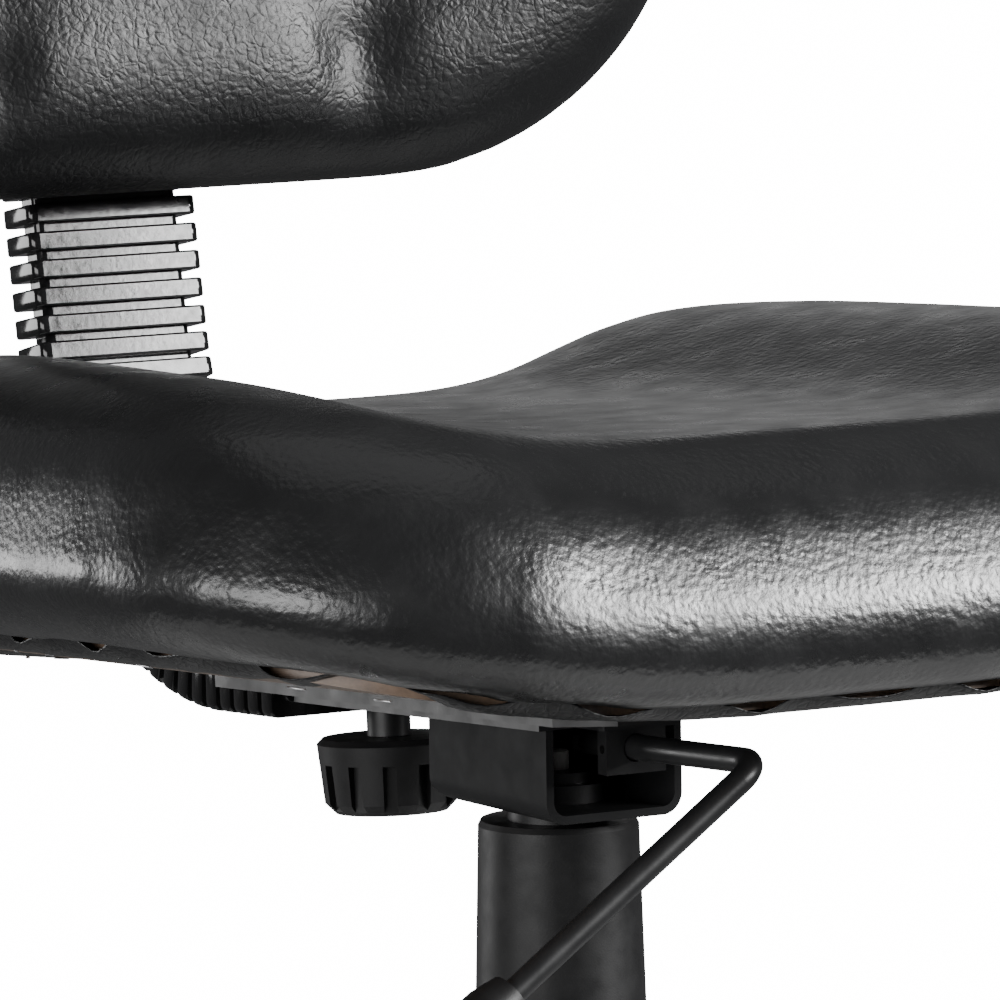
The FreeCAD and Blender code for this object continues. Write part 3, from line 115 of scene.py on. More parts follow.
# Hem in the seat frame. Waves are (size, count round the seat, phase)
HEM_HALF_WIDTH = 0.2155
HEM_FRONT = -0.2105
HEM_REAR = 0.1805
HEM_FRONT_R = 0.0925
HEM_REAR_R = 0.0825
HEM_CORNER_STEPS = 12
HEM_LONG_EDGE = 0.05
HEM_EDGE_CUTS = 24
HEM_CUTS_ACROSS = 3
HEM_THICKNESS = 0.0012
HEM_DROP = 0.0009
HEM_TUCK = 0.0045
RAGGED_WAVES = ((0.022, 31.0, 0.0), (0.016, 53.0, 1.3))
RIPPLE_WAVES = ((0.0005, 67.0, 0.0),)
TUCK_WAVES = ((0.0035, 29.0, 0.0), (0.002, 47.0, 0.0))

# Staples on a ring with cut corners, each a little out of step and askew
STAPLES = 22
STAPLE_RING = (0.2125, 0.1925)
STAPLE_RING_CUT = 1.56
STAPLE_RING_MEAN = 0.2
STAPLE_INSET = 0.55
STAPLE_DROP = 0.0019
STAPLE_SIZE = (0.007, 0.0010, 0.0007)
STAPLE_BEVEL = 0.0002
STAPLE_DRIFT, STAPLE_DRIFT_STEP = 0.3, 2.1
STAPLE_SKEW, STAPLE_SKEW_STEP = 0.4, 1.7

# Studio
SENSOR_WIDTH = 36.0
CLIP_START, CLIP_END = 0.1, 100.0
CAMERA_EYE = Vector((-1.6571, -2.8220, 1.110))
CAMERA_AIM = Vector((-0.01635, 0.00948, 0.729))
BACKDROP_COLOUR = (1.0, 1.0, 1.0, 1.0)
BACKDROP_STRENGTH = 16.0
ROOM_COLOUR = (0.11, 0.11, 0.113, 1.0)
FLOOR_DROP = 0.0005
FLOOR_SIDES = 96
FLOOR_DARK = (0.6, 0.6, 0.595)
FLOOR_LIGHT = (0.66, 0.66, 0.655)

# Name, property with the power, place, aim, and width and height
LIGHTS = (
    ("front_softbox", "key_power", (2.74, -2.6, 1.98), (2.74, 0.0, 1.40), (2.2, 1.2)),
    ("near_side_strip", "rim_power", (-1.5, 2.3, 0.70), (-0.15, 0.0, 0.68), (0.9, 0.7)),
    ("overhead_softbox", "top_power", (0.1, 0.2, 2.6), (0.0, 0.0, 0.7), (1.6, 1.6)),
    ("back_softbox", "wall_power", (1.2, 3.2, 1.45), (0.0, 0.0, 0.75), (2.2, 1.0)),
    ("near_fill", "fill_power", (-3.0, -0.9, 1.0), (-0.1, 0.0, 0.7), (2.6, 0.9)),
)

# Nodes by finish
BLACK_STEEL = ("mount_plate", "lever_saddle", "bar_guide", "lever_rod", "back_bar", "back_bracket",
               "column_tube", "pressure_cylinder", "taper_socket", "foot_hub")
MATT_STEEL = ("seat_channel",)
BLACK_PLASTIC = ("upper_cover", "middle_cover", "lower_cover", "back_shell", "star_base")
GRIP_PLASTIC = ("lever_grip", "depth_knob", "back_knob", "foot_knob")
PALE_PLASTIC = ("guide_bush", "release_button")
BRIGHT_STEEL = ("piston_rod", "rod_clip", "thrust_bearing", "seat_bolts", "tee_nuts", "back_bolts",
                "depth_stud", "back_stud", "foot_stud")
CHROME = ("foot_ring", "foot_spokes")

# Most of a noise texture's values lie between these two
NOISE_LOW, NOISE_HIGH = 0.3, 0.7

# Materials that later operators use too
FINISHES = {}


class StoolUpholstery(bpy.types.PropertyGroup):
    """Vinyl, stuffing and hem of the two pads"""

    vinyl_colour: bpy.props.FloatVectorProperty(
        name="Vinyl", description="Colour of the upholstery vinyl", subtype="COLOR", size=3,
        default=(0.0105, 0.0107, 0.0112), min=0.0, max=1.0)
    vinyl_roughness: bpy.props.FloatProperty(
        name="Vinyl roughness", description="Gloss of the vinyl between the grains",
        subtype="FACTOR", default=0.30, min=0.0, max=1.0)
    seat_voxel: bpy.props.FloatProperty(
        name="Seat mesh", description="Mesh size of the seat pad before it is filled",
        unit="LENGTH", default=0.006, min=0.003, max=0.02)
    back_voxel: bpy.props.FloatProperty(
        name="Back mesh", description="Mesh size of the back pad before it is filled",
        unit="LENGTH", default=0.006, min=0.003, max=0.02)
    swell: bpy.props.FloatProperty(
        name="Swell", description="Most that the stuffing pushes the vinyl out", unit="LENGTH",
        default=0.005, min=0.0, max=0.03)
    pressure: bpy.props.FloatProperty(
        name="Stuffing pressure", description="Pressure of the foam under the vinyl", default=4.0,
        min=0.0, max=20.0)
    hem_width: bpy.props.FloatProperty(
        name="Hem width", description="Width of the vinyl folded under the pan", unit="LENGTH",
        default=0.022, min=0.005, max=0.06)


class StoolBellows(bpy.types.PropertyGroup):
    """Ribs of the bellows"""

    half_width: bpy.props.FloatProperty(
        name="Half width", description="Half the width of a rib", unit="LENGTH", default=0.036,
        min=0.01, max=0.1)
    half_depth: bpy.props.FloatProperty(
        name="Half depth", description="Half the depth of a rib", unit="LENGTH", default=0.012,
        min=0.004, max=0.05)
    groove: bpy.props.FloatProperty(
        name="Groove", description="Depth of the grooves between the ribs", unit="LENGTH",
        default=0.0055, min=0.001, max=0.01)
    rib_thickness: bpy.props.FloatProperty(
        name="Rib thickness", description="Thickness of one rib", unit="LENGTH", default=0.0072,
        min=0.001, max=0.02)
    pitch: bpy.props.FloatProperty(
        name="Rib pitch", description="Spacing of the ribs", unit="LENGTH", default=0.0107,
        min=0.002, max=0.03)


class StoolFinish(bpy.types.PropertyGroup):
    """Colours of the rigid pieces and the bellows"""

    steel_colour: bpy.props.FloatVectorProperty(
        name="Powder coat", description="Colour of the coated steel", subtype="COLOR", size=3,
        default=(0.013, 0.0132, 0.0138), min=0.0, max=1.0)
    plastic_colour: bpy.props.FloatVectorProperty(
        name="Black plastic", description="Colour of the moulded plastic", subtype="COLOR", size=3,
        default=(0.009, 0.009, 0.0094), min=0.0, max=1.0)
    rubber_colour: bpy.props.FloatVectorProperty(
        name="Bellows rubber", description="Colour of the bellows", subtype="COLOR", size=3,
        default=(0.01, 0.01, 0.0104), min=0.0, max=1.0)
    wood_colour: bpy.props.FloatVectorProperty(
        name="Plywood", description="Middle colour of the plywood", subtype="COLOR", size=3,
        default=(0.22, 0.15, 0.105), min=0.0, max=1.0)


class StoolStage(bpy.types.PropertyGroup):
    """Camera, lights and floor"""

    lens: bpy.props.FloatProperty(
        name="Lens", description="Focal length of the camera in millimetres", default=337.8,
        min=10.0, max=1000.0)
    roll: bpy.props.FloatProperty(
        name="Roll", description="Roll of the camera about its view", subtype="ANGLE",
        default=math.radians(0.86), min=-1.0, max=1.0)
    key_power: bpy.props.FloatProperty(
        name="Key light", description="Power of the front softbox", unit="POWER", default=380.0,
        min=0.0)
    rim_power: bpy.props.FloatProperty(
        name="Rim light", description="Power of the strip light behind the near side",
        unit="POWER", default=16.0, min=0.0)
    top_power: bpy.props.FloatProperty(
        name="Top light", description="Power of the overhead softbox", unit="POWER", default=2.0,
        min=0.0)
    wall_power: bpy.props.FloatProperty(
        name="Back light", description="Power of the large light behind, for the sheen on the seat",
        unit="POWER", default=3.2, min=0.0)
    fill_power: bpy.props.FloatProperty(
        name="Fill light", description="Power of the soft fill on the near side", unit="POWER",
        default=55.0, min=0.0)
    floor_radius: bpy.props.FloatProperty(
        name="Floor radius", description="Radius of the pale floor", unit="LENGTH", default=0.85,
        min=0.5, max=20.0)


# Shader helpers
class Shader:
    """A material's node tree with a short way to add and join nodes."""

    def __init__(self, name):
        self.material = bpy.data.materials.new(name)
        self.material.use_nodes = True
        self.tree = self.material.node_tree
        self.surface = self.tree.nodes["Principled BSDF"]
        self.place = self.add("ShaderNodeTexCoord").outputs["Object"]
        self.normal = None

    def add(self, kind, **values):
        node = self.tree.nodes.new(kind)
        for key, value in values.items():
            setattr(node, key, value)
        return node

    def join(self, output, target):
        self.tree.links.new(output, target)

    def set(self, **values):
        for key, value in values.items():
            self.surface.inputs[key.replace("_", " ")].default_value = value

    def noise(self, scale, detail=3.0, rough=0.5, stretch=None):
        node = self.add("ShaderNodeTexNoise")
        node.inputs["Scale"].default_value = scale
        node.inputs["Detail"].default_value = detail
        node.inputs["Roughness"].default_value = rough
        self.join(self.mapped(stretch), node.inputs["Vector"])
        return node.outputs["Fac"]

    def cells(self, scale, feature, wander):
        """Cell pattern whose outlines wander off the straight."""
        node = self.add("ShaderNodeTexVoronoi", feature=feature)
        node.inputs["Scale"].default_value = scale
        warp = self.add("ShaderNodeTexNoise")
        warp.inputs["Scale"].default_value = scale * 0.4
        self.join(self.place, warp.inputs["Vector"])
        mix = self.add("ShaderNodeVectorMath", operation="MULTIPLY_ADD")
        mix.inputs[1].default_value = (wander, wander, wander)
        self.join(warp.outputs["Color"], mix.inputs[0])
        self.join(self.place, mix.inputs[2])
        self.join(mix.outputs["Vector"], node.inputs["Vector"])
        return node.outputs["Distance"]

    def mapped(self, stretch):
        if stretch is None:
            return self.place
        node = self.add("ShaderNodeMapping")
        node.inputs["Scale"].default_value = stretch
        self.join(self.place, node.inputs["Vector"])
        return node.outputs["Vector"]

    def spread(self, value, low, high, start=0.0, end=1.0):
        node = self.add("ShaderNodeMapRange")
        node.inputs["From Min"].default_value = start
        node.inputs["From Max"].default_value = end
        node.inputs["To Min"].default_value = low
        node.inputs["To Max"].default_value = high
        self.join(value, node.inputs["Value"])
        return node.outputs["Result"]

    def colour(self, value, stops):
        """Base colour from a ramp of (place, colour) stops."""
        node = self.add("ShaderNodeValToRGB")
        elements = node.color_ramp.elements
        while len(elements) < len(stops):
            elements.new(0.5)
        for element, (place, colour) in zip(elements, stops):
            element.position = place
            element.color = (*colour, 1.0)
        self.join(value, node.inputs["Fac"])
        self.join(node.outputs["Color"], self.surface.inputs["Base Color"])

    def mottle(self, colour, dark, light, scale, detail=3.0):
        """Base colour that drifts between two shades."""
        self.colour(self.noise(scale, detail),
                    ((NOISE_LOW, shade(colour, dark)), (NOISE_HIGH, shade(colour, light))))

    def gloss(self, low, high, scale, detail=3.0):
        """Roughness that drifts between two values."""
        value = self.spread(self.noise(scale, detail), low, high, NOISE_LOW, NOISE_HIGH)
        self.join(value, self.surface.inputs["Roughness"])

    def bump(self, height, strength, depth):
        """One more layer of relief over those before it, its depth in metres."""
        node = self.add("ShaderNodeBump")
        node.inputs["Strength"].default_value = strength
        node.inputs["Distance"].default_value = depth
        self.join(height, node.inputs["Height"])
        if self.normal is not None:
            self.join(self.normal, node.inputs["Normal"])
        self.normal = node.outputs["Normal"]
        self.join(self.normal, self.surface.inputs["Normal"])


def shade(colour, factor):
    return tuple(min(channel * factor, 1.0) for channel in colour)


def vinyl_finish(name, wrinkle, dull, shine):
    """Black upholstery vinyl: pebble grain, with hide creases where the vinyl is drawn loose."""
    soft = bpy.context.scene.stool_upholstery
    s = Shader(name)
    s.mottle(tuple(soft.vinyl_colour), dark=0.85, light=1.2, scale=9.0, detail=2.0)
    low = soft.vinyl_roughness + dull
    s.gloss(low - 0.04, low + 0.08, scale=60.0, detail=4.0)
    s.set(Specular_IOR_Level=shine)
    s.bump(s.noise(330.0), strength=0.4, depth=0.0006)
    if wrinkle:
        crease = s.cells(260.0, "DISTANCE_TO_EDGE", wander=0.006)
        s.bump(s.spread(crease, 0.0, 1.0, start=0.0, end=0.2), strength=wrinkle, depth=0.0005)
    s.bump(s.cells(430.0, "SMOOTH_F1", wander=0.002), strength=0.3, depth=0.0005)
    return s.material


def rubber_finish():
    """Glossy moulded rubber, slightly mottled."""
    finish = bpy.context.scene.stool_finish
    s = Shader("bellows_rubber")
    s.mottle(tuple(finish.rubber_colour), dark=0.8, light=1.3, scale=40.0)
    s.gloss(0.07, 0.15, scale=260.0, detail=4.0)
    s.set(Specular_IOR_Level=0.45)
    s.bump(s.noise(420.0), strength=0.06, depth=0.0002)
    return s.material


def coat_finish(name, low, high, shine):
    """Powder coat: slight orange peel and a dusty variation in gloss."""
    finish = bpy.context.scene.stool_finish
    s = Shader(name)
    s.mottle(tuple(finish.steel_colour), dark=0.85, light=1.25, scale=35.0, detail=4.0)
    s.gloss(low, high, scale=90.0, detail=5.0)
    s.set(Specular_IOR_Level=shine)
    s.bump(s.noise(700.0), strength=0.12, depth=0.00015)
    return s.material


def moulded_finish(name, low, high, grain):
    """Black moulded plastic with a fine spark-eroded texture."""
    finish = bpy.context.scene.stool_finish
    s = Shader(name)
    s.mottle(tuple(finish.plastic_colour), dark=0.88, light=1.15, scale=25.0)
    s.gloss(low, high, scale=130.0, detail=4.0)
    s.set(Specular_IOR_Level=0.42)
    s.bump(s.noise(1800.0, detail=2.0), strength=grain, depth=0.00012)
    return s.material


def plywood_finish():
    """Varnished birch ply with its grain along the seat's depth."""
    finish = bpy.context.scene.stool_finish
    s = Shader("plywood")
    colour = tuple(finish.wood_colour)
    grain = s.noise(7.0, detail=6.0, rough=0.6, stretch=(14.0, 1.0, 14.0))
    fibre = s.noise(30.0, stretch=(30.0, 1.2, 30.0))
    tone = s.add("ShaderNodeMath", operation="MULTIPLY_ADD")
    tone.inputs[1].default_value = 0.35
    s.join(fibre, tone.inputs[0])
    s.join(s.spread(grain, 0.0, 0.65, start=0.25, end=0.75), tone.inputs[2])
    s.colour(tone.outputs["Value"],
             ((0.2, shade(colour, 0.55)), (0.5, colour), (0.85, shade(colour, 1.5))))
    s.gloss(0.3, 0.45, scale=50.0, detail=4.0)
    s.set(Coat_Weight=0.2, Coat_Roughness=0.3)
    s.bump(fibre, strength=0.2, depth=0.0002)
    return s.material


def metal_finish(name, colour, low, high, marks):
    """Bare or plated metal with fine marks."""
    s = Shader(name)
    s.mottle(colour, dark=0.92, light=1.05, scale=45.0)
    s.gloss(low, high, scale=160.0, detail=4.0)
    s.set(Metallic=1.0)
    s.bump(s.noise(240.0, detail=2.0), strength=marks, depth=0.0001)
    return s.material


def plain_finish(name, colour, low, high):
    """Unpainted plastic or rubber, a little uneven."""
    s = Shader(name)
    s.mottle(colour, dark=0.9, light=1.08, scale=60.0)
    s.gloss(low, high, scale=150.0)
    s.bump(s.noise(900.0, detail=2.0), strength=0.1, depth=0.0001)
    return s.material


def dress(node, material):
    mesh = NODES[node].data
    mesh.materials.clear()
    mesh.materials.append(material)


# Mesh helpers
def linked(name, data):
    """A new object in the scene."""
    thing = bpy.data.objects.new(name, data)
    bpy.context.scene.collection.objects.link(thing)
    return thing


def new_piece(name, bm, material, body=None, flat_area=None):
    """A finished piece, smooth but for faces larger than flat_area."""
    mesh = bpy.data.meshes.new(name)
    bm.to_mesh(mesh)
    bm.free()
    piece = linked(name, mesh)
    mesh.materials.append(material)
    for face in mesh.polygons:
        face.use_smooth = flat_area is None or face.area < flat_area
    if body:
        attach(piece, body)
    return piece


def evaluated_mesh(piece):
    bpy.context.view_layer.update()
    graph = bpy.context.evaluated_depsgraph_get()
    return bpy.data.meshes.new_from_object(piece.evaluated_get(graph))


def with_modifier(piece, name, kind, **values):
    modifier = piece.modifiers.new(name, kind)
    for key, value in values.items():
        setattr(modifier, key, value)
    return modifier


def rounded(piece):
    with_modifier(piece, "round", "SUBSURF", levels=1, render_levels=1)


def bevelled(bm, geom, offset, segments, affect="EDGES", clamp=False):
    bmesh.ops.bevel(bm, geom=geom, offset=offset, affect=affect, segments=segments, profile=0.5,
                    material=-1, clamp_overlap=clamp)


def only(kind, items):
    return [item for item in items if isinstance(item, kind)]


def pushed_out(bm, faces, step):
    """Extrude faces by a step and return the new ones."""
    made = bmesh.ops.extrude_face_region(bm, geom=faces)["geom"]
    bmesh.ops.translate(bm, vec=step, verts=only(bmesh.types.BMVert, made))
    return only(bmesh.types.BMFace, made)


def evened(bm, verts, rounds):
    for _ in range(rounds):
        bmesh.ops.smooth_vert(bm, verts=verts, factor=0.5, use_axis_x=True, use_axis_y=True,
                              use_axis_z=True)


def bell(value, spread):
    return math.exp(-(value / spread) ** 2)


def waves(angle, terms):
    return sum(size * math.sin(angle * count + phase) for size, count, phase in terms)


def pan_under(x):
    """Height of the pan's lower face in the seat frame."""
    out = max(abs(x) - PAN_FLAT, 0.0)
    return PAN_LEVEL + PAN_R - math.sqrt(PAN_R ** 2 - out ** 2)


# Pad helpers
def remeshed_copy(node, name, voxel):
    """A welded, evenly meshed and slightly smoothed copy of a CAD pad."""
    bm = bmesh.new()
    bm.from_mesh(NODES[node].data)
    bmesh.ops.remove_doubles(bm, verts=bm.verts, dist=WELD)
    mesh = bpy.data.meshes.new(name)
    bm.to_mesh(mesh)
    bm.free()
    piece = linked(name, mesh)
    modifier = with_modifier(piece, "even", "REMESH", mode="VOXEL", voxel_size=voxel,
                             adaptivity=0.0)
    mesh = evaluated_mesh(piece)
    piece.modifiers.remove(modifier)
    piece.data = mesh
    softened(piece, PAD_ROUNDS)
    return piece


def freedom(distance):
    """Share from 0 to 1 by which the vinyl is free at a distance from where it is held."""
    return min(max(distance / HELD_FADE, 0.0), 1.0)


def filled(piece, free, swell, pressure):
    """Draw the pad in a little, then let its stuffing push it out where it is free to move."""
    mesh = piece.data
    held = piece.vertex_groups.new(name="held")
    weights = []
    for vertex in mesh.vertices:
        share = free(vertex.co)
        weights.append(share)
        held.add([vertex.index], 1.0 - share, "REPLACE")
    for vertex, share in zip(mesh.vertices, weights):
        vertex.co -= vertex.normal * DRAWN_IN * share
    start = [vertex.co.copy() for vertex in mesh.vertices]
    cloth = piece.modifiers.new("stuffing", "CLOTH")
    for key, value in CLOTH.items():
        setattr(cloth.settings, key, value)
    cloth.settings.vertex_group_mass = "held"
    cloth.settings.use_pressure = True
    cloth.settings.uniform_pressure_force = pressure
    cloth.settings.effector_weights.gravity = 0.0
    cloth.collision_settings.use_collision = False
    cloth.point_cache.frame_start = 1
    cloth.point_cache.frame_end = CLOTH_FRAMES
    scene = bpy.context.scene
    for number in range(1, CLOTH_FRAMES + 1):
        scene.frame_set(number)
    settled = evaluated_mesh(piece)
    piece.modifiers.remove(cloth)
    scene.frame_set(1)
    for vertex, old, new in zip(mesh.vertices, start, settled.vertices):
        step = new.co - old
        if step.length > swell:
            step *= swell / step.length
        vertex.co = old + step
    bpy.data.meshes.remove(settled)


def softened(piece, rounds, reach=1.0, above=0.0):
    """Even out the pad within a distance of its middle plane and above a height."""
    bm = bmesh.new()
    bm.from_mesh(piece.data)
    inner = [vertex for vertex in bm.verts if abs(vertex.co.x) < reach and vertex.co.z > above]
    evened(bm, inner, rounds)
    bm.to_mesh(piece.data)
    bm.free()


def finish_pad(piece, node, body, material):
    piece.vertex_groups.clear()
    piece.data.materials.clear()
    piece.data.materials.append(material)
    for face in piece.data.polygons:
        face.use_smooth = True
    rounded(piece)
    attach(piece, body)
    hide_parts(node)


class STOOL_OT_finishes(bpy.types.Operator):
    """Give every rigid piece its finish"""

    bl_idname = "stool.finishes"
    bl_label = "Finish rigid pieces"

    def execute(self, context):
        coat = coat_finish("black_steel", low=0.32, high=0.48, shine=0.5)
        matt = coat_finish("matt_steel", low=0.6, high=0.72, shine=0.2)
        shell = moulded_finish("black_plastic", low=0.38, high=0.52, grain=0.25)
        grips = moulded_finish("grip_plastic", low=0.42, high=0.58, grain=0.3)
        pale = plain_finish("pale_plastic", (0.72, 0.71, 0.67), low=0.35, high=0.5)
        bright = metal_finish("bright_steel", (0.6, 0.6, 0.61), low=0.25, high=0.4, marks=0.1)
        chrome = metal_finish("chrome", (0.82, 0.82, 0.84), low=0.04, high=0.1, marks=0.02)
        tread = plain_finish("wheel_tread", (0.045, 0.045, 0.047), low=0.45, high=0.65)
        caster = moulded_finish("caster_plastic", low=0.4, high=0.55, grain=0.3)
        FINISHES["bright_steel"] = bright
        FINISHES["bellows_rubber"] = rubber_finish()
        for nodes, material in ((BLACK_STEEL, coat), (MATT_STEEL, matt), (BLACK_PLASTIC, shell),
                                (GRIP_PLASTIC, grips), (PALE_PLASTIC, pale),
                                (BRIGHT_STEEL, bright), (CHROME, chrome)):
            for node in nodes:
                dress(node, material)
        dress("seat_pan", plywood_finish())
        dress("bellows", FINISHES["bellows_rubber"])
        for node in NODES:
            if node.endswith("_yoke"):
                dress(node, caster)
            elif "_wheel_" in node:
                dress(node, tread)
            elif node.endswith("_pins"):
                dress(node, bright)
        return {"FINISHED"}


class STOOL_OT_seat_pad(bpy.types.Operator):
    """Make the stuffed seat cushion over the plywood pan"""

    bl_idname = "stool.seat_pad"
    bl_label = "Make seat cushion"

    def execute(self, context):
        soft = context.scene.stool_upholstery
        piece = remeshed_copy("seat_cushion", "seat_pad", soft.seat_voxel)
        to_seat = SEAT_MATRIX.inverted()

        def rise(place):
            local = to_seat @ place
            return local.z - pan_under(local.x)

        for vertex in piece.data.vertices:
            height = rise(vertex.co)
            out = Vector((vertex.normal.x, vertex.normal.y, 0.0))
            near = max(-out.x, 0.0)
            vertex.co += out * BULGE * near * bell(height - BULGE_RISE, BULGE_SPREAD)
        filled(piece, lambda place: freedom(rise(place) - SEAT_HELD), soft.swell, soft.pressure)
        softened(piece, SEAT_ROUNDS)
        vinyl = vinyl_finish("seat_vinyl", wrinkle=0.0, dull=-0.01, shine=0.95)
        finish_pad(piece, "seat_cushion", "seat_carriage", vinyl)
        return {"FINISHED"}


class STOOL_OT_back_pad(bpy.types.Operator):
    """Make the stuffed backrest cushion with its two soft channels"""

    bl_idname = "stool.back_pad"
    bl_label = "Make back cushion"

    def execute(self, context):
        soft = context.scene.stool_upholstery
        piece = remeshed_copy("back_cushion", "back_pad", soft.back_voxel)
        low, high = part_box("back_shell")
        foot, rear = low[2], high[1]

        def free(place):
            lean = (place.z - foot) * SHELL_LEAN
            return freedom(rear - SHELL_LEAN_BACK + lean - BACK_HELD - place.y)

        for vertex in piece.data.vertices:
            vertex.co.x -= CHANNEL_SHIFT * bell(vertex.co.x, CHANNEL_SPREAD)
        filled(piece, free, soft.swell, soft.pressure)
        softened(piece, BACK_ROUNDS)
        softened(piece, CHANNEL_ROUNDS, CHANNEL_REACH, foot + CHANNEL_FOOT)
        vinyl = vinyl_finish("back_vinyl", wrinkle=0.14, dull=0.05, shine=0.29)
        finish_pad(piece, "back_cushion", "backrest", vinyl)
        return {"FINISHED"}


class STOOL_OT_seat_hem(bpy.types.Operator):
    """Fold the vinyl's hem under the pan and staple it"""

    bl_idname = "stool.seat_hem"
    bl_label = "Make hem and staples"

    def execute(self, context):
        width = context.scene.stool_upholstery.hem_width
        bm = bmesh.new()
        ragged = self.band(bm, width)
        tucked = {vertex for vertex in bm.verts if vertex.is_boundary and vertex not in ragged}
        for vertex in bm.verts:
            if vertex in ragged:
                pull = 1.0 + waves(math.atan2(vertex.co.y, vertex.co.x), RAGGED_WAVES)
                vertex.co.x *= pull
                vertex.co.y *= pull
        for vertex in bm.verts:
            angle = math.atan2(vertex.co.y, vertex.co.x)
            vertex.co.z = pan_under(vertex.co.x) - HEM_DROP + waves(angle, RIPPLE_WAVES)
            if vertex in tucked:
                vertex.co.z += HEM_TUCK + waves(angle, TUCK_WAVES)
        bmesh.ops.solidify(bm, geom=bm.faces[:], thickness=HEM_THICKNESS)
        bmesh.ops.recalc_face_normals(bm, faces=bm.faces)
        bmesh.ops.transform(bm, matrix=SEAT_MATRIX, verts=bm.verts)
        vinyl = vinyl_finish("hem_vinyl", wrinkle=0.3, dull=0.1, shine=0.4)
        rounded(new_piece("seat_hem", bm, vinyl, "seat_carriage"))
        self.staples(width)
        return {"FINISHED"}

    def band(self, bm, width):
        """Flat band round the seat. Returns the vertices of its inner edge."""
        bmesh.ops.create_grid(bm, x_segments=1, y_segments=1, size=1.0)
        for vertex in bm.verts:
            vertex.co = Vector((math.copysign(HEM_HALF_WIDTH, vertex.co.x),
                                HEM_FRONT if vertex.co.y < 0 else HEM_REAR, 0.0))
        for end, radius in ((HEM_FRONT, HEM_FRONT_R), (HEM_REAR, HEM_REAR_R)):
            corners = [vertex for vertex in bm.verts if abs(vertex.co.y - end) < 1e-6]
            bevelled(bm, corners, radius, HEM_CORNER_STEPS, affect="VERTICES")
        long_edges = [edge for edge in bm.edges if edge.calc_length() > HEM_LONG_EDGE]
        bmesh.ops.subdivide_edges(bm, edges=long_edges, cuts=HEM_EDGE_CUTS)
        bmesh.ops.inset_region(bm, faces=bm.faces[:], thickness=width, use_even_offset=True,
                               use_boundary=True)
        widest = max(bm.faces, key=lambda face: face.calc_area())
        bmesh.ops.delete(bm, geom=[widest], context="FACES")
        half = 0.5 * width
        inner = {vertex for vertex in bm.verts if abs(vertex.co.x) < HEM_HALF_WIDTH - half
                 and HEM_FRONT + half < vertex.co.y < HEM_REAR - half}
        across = [edge for edge in bm.edges
                  if (edge.verts[0] in inner) != (edge.verts[1] in inner)]
        bmesh.ops.subdivide_edges(bm, edges=across, cuts=HEM_CUTS_ACROSS)
        return inner

    def staples(self, width):
        bm = bmesh.new()
        half_x, half_y = STAPLE_RING
        for index in range(STAPLES):
            drift = STAPLE_DRIFT * math.sin(index * STAPLE_DRIFT_STEP)
            skew = STAPLE_SKEW * math.sin(index * STAPLE_SKEW_STEP)
            angle = 2.0 * math.pi * (index + drift) / STAPLES
            x, y = half_x * math.cos(angle), half_y * math.sin(angle)
            part_x, part_y = abs(x) / half_x, abs(y) / half_y
            reach = 1.0 / max(part_x, part_y, (part_x + part_y) / STAPLE_RING_CUT)
            reach *= 1.0 - STAPLE_INSET * width / STAPLE_RING_MEAN
            x, y = x * reach, y * reach + 0.5 * (HEM_FRONT + HEM_REAR)
            made = bmesh.ops.create_cube(bm, size=1.0)
            climb = pan_under(x + SLOPE_STEP) - pan_under(x - SLOPE_STEP)
            slope = Matrix.Rotation(-math.atan2(climb, 2.0 * SLOPE_STEP), 4, "Y")
            place = Matrix.Translation((x, y, pan_under(x) - STAPLE_DROP)) @ slope
            turn = Matrix.Rotation(angle + math.pi / 2 + skew, 4, "Z")
            size = Matrix.Diagonal((*STAPLE_SIZE, 1.0))
            bmesh.ops.transform(bm, matrix=SEAT_MATRIX @ place @ turn @ size, verts=made["verts"])
        bevelled(bm, bm.edges[:], STAPLE_BEVEL, 1)
        new_piece("hem_staples", bm, FINISHES["bright_steel"], "seat_carriage")


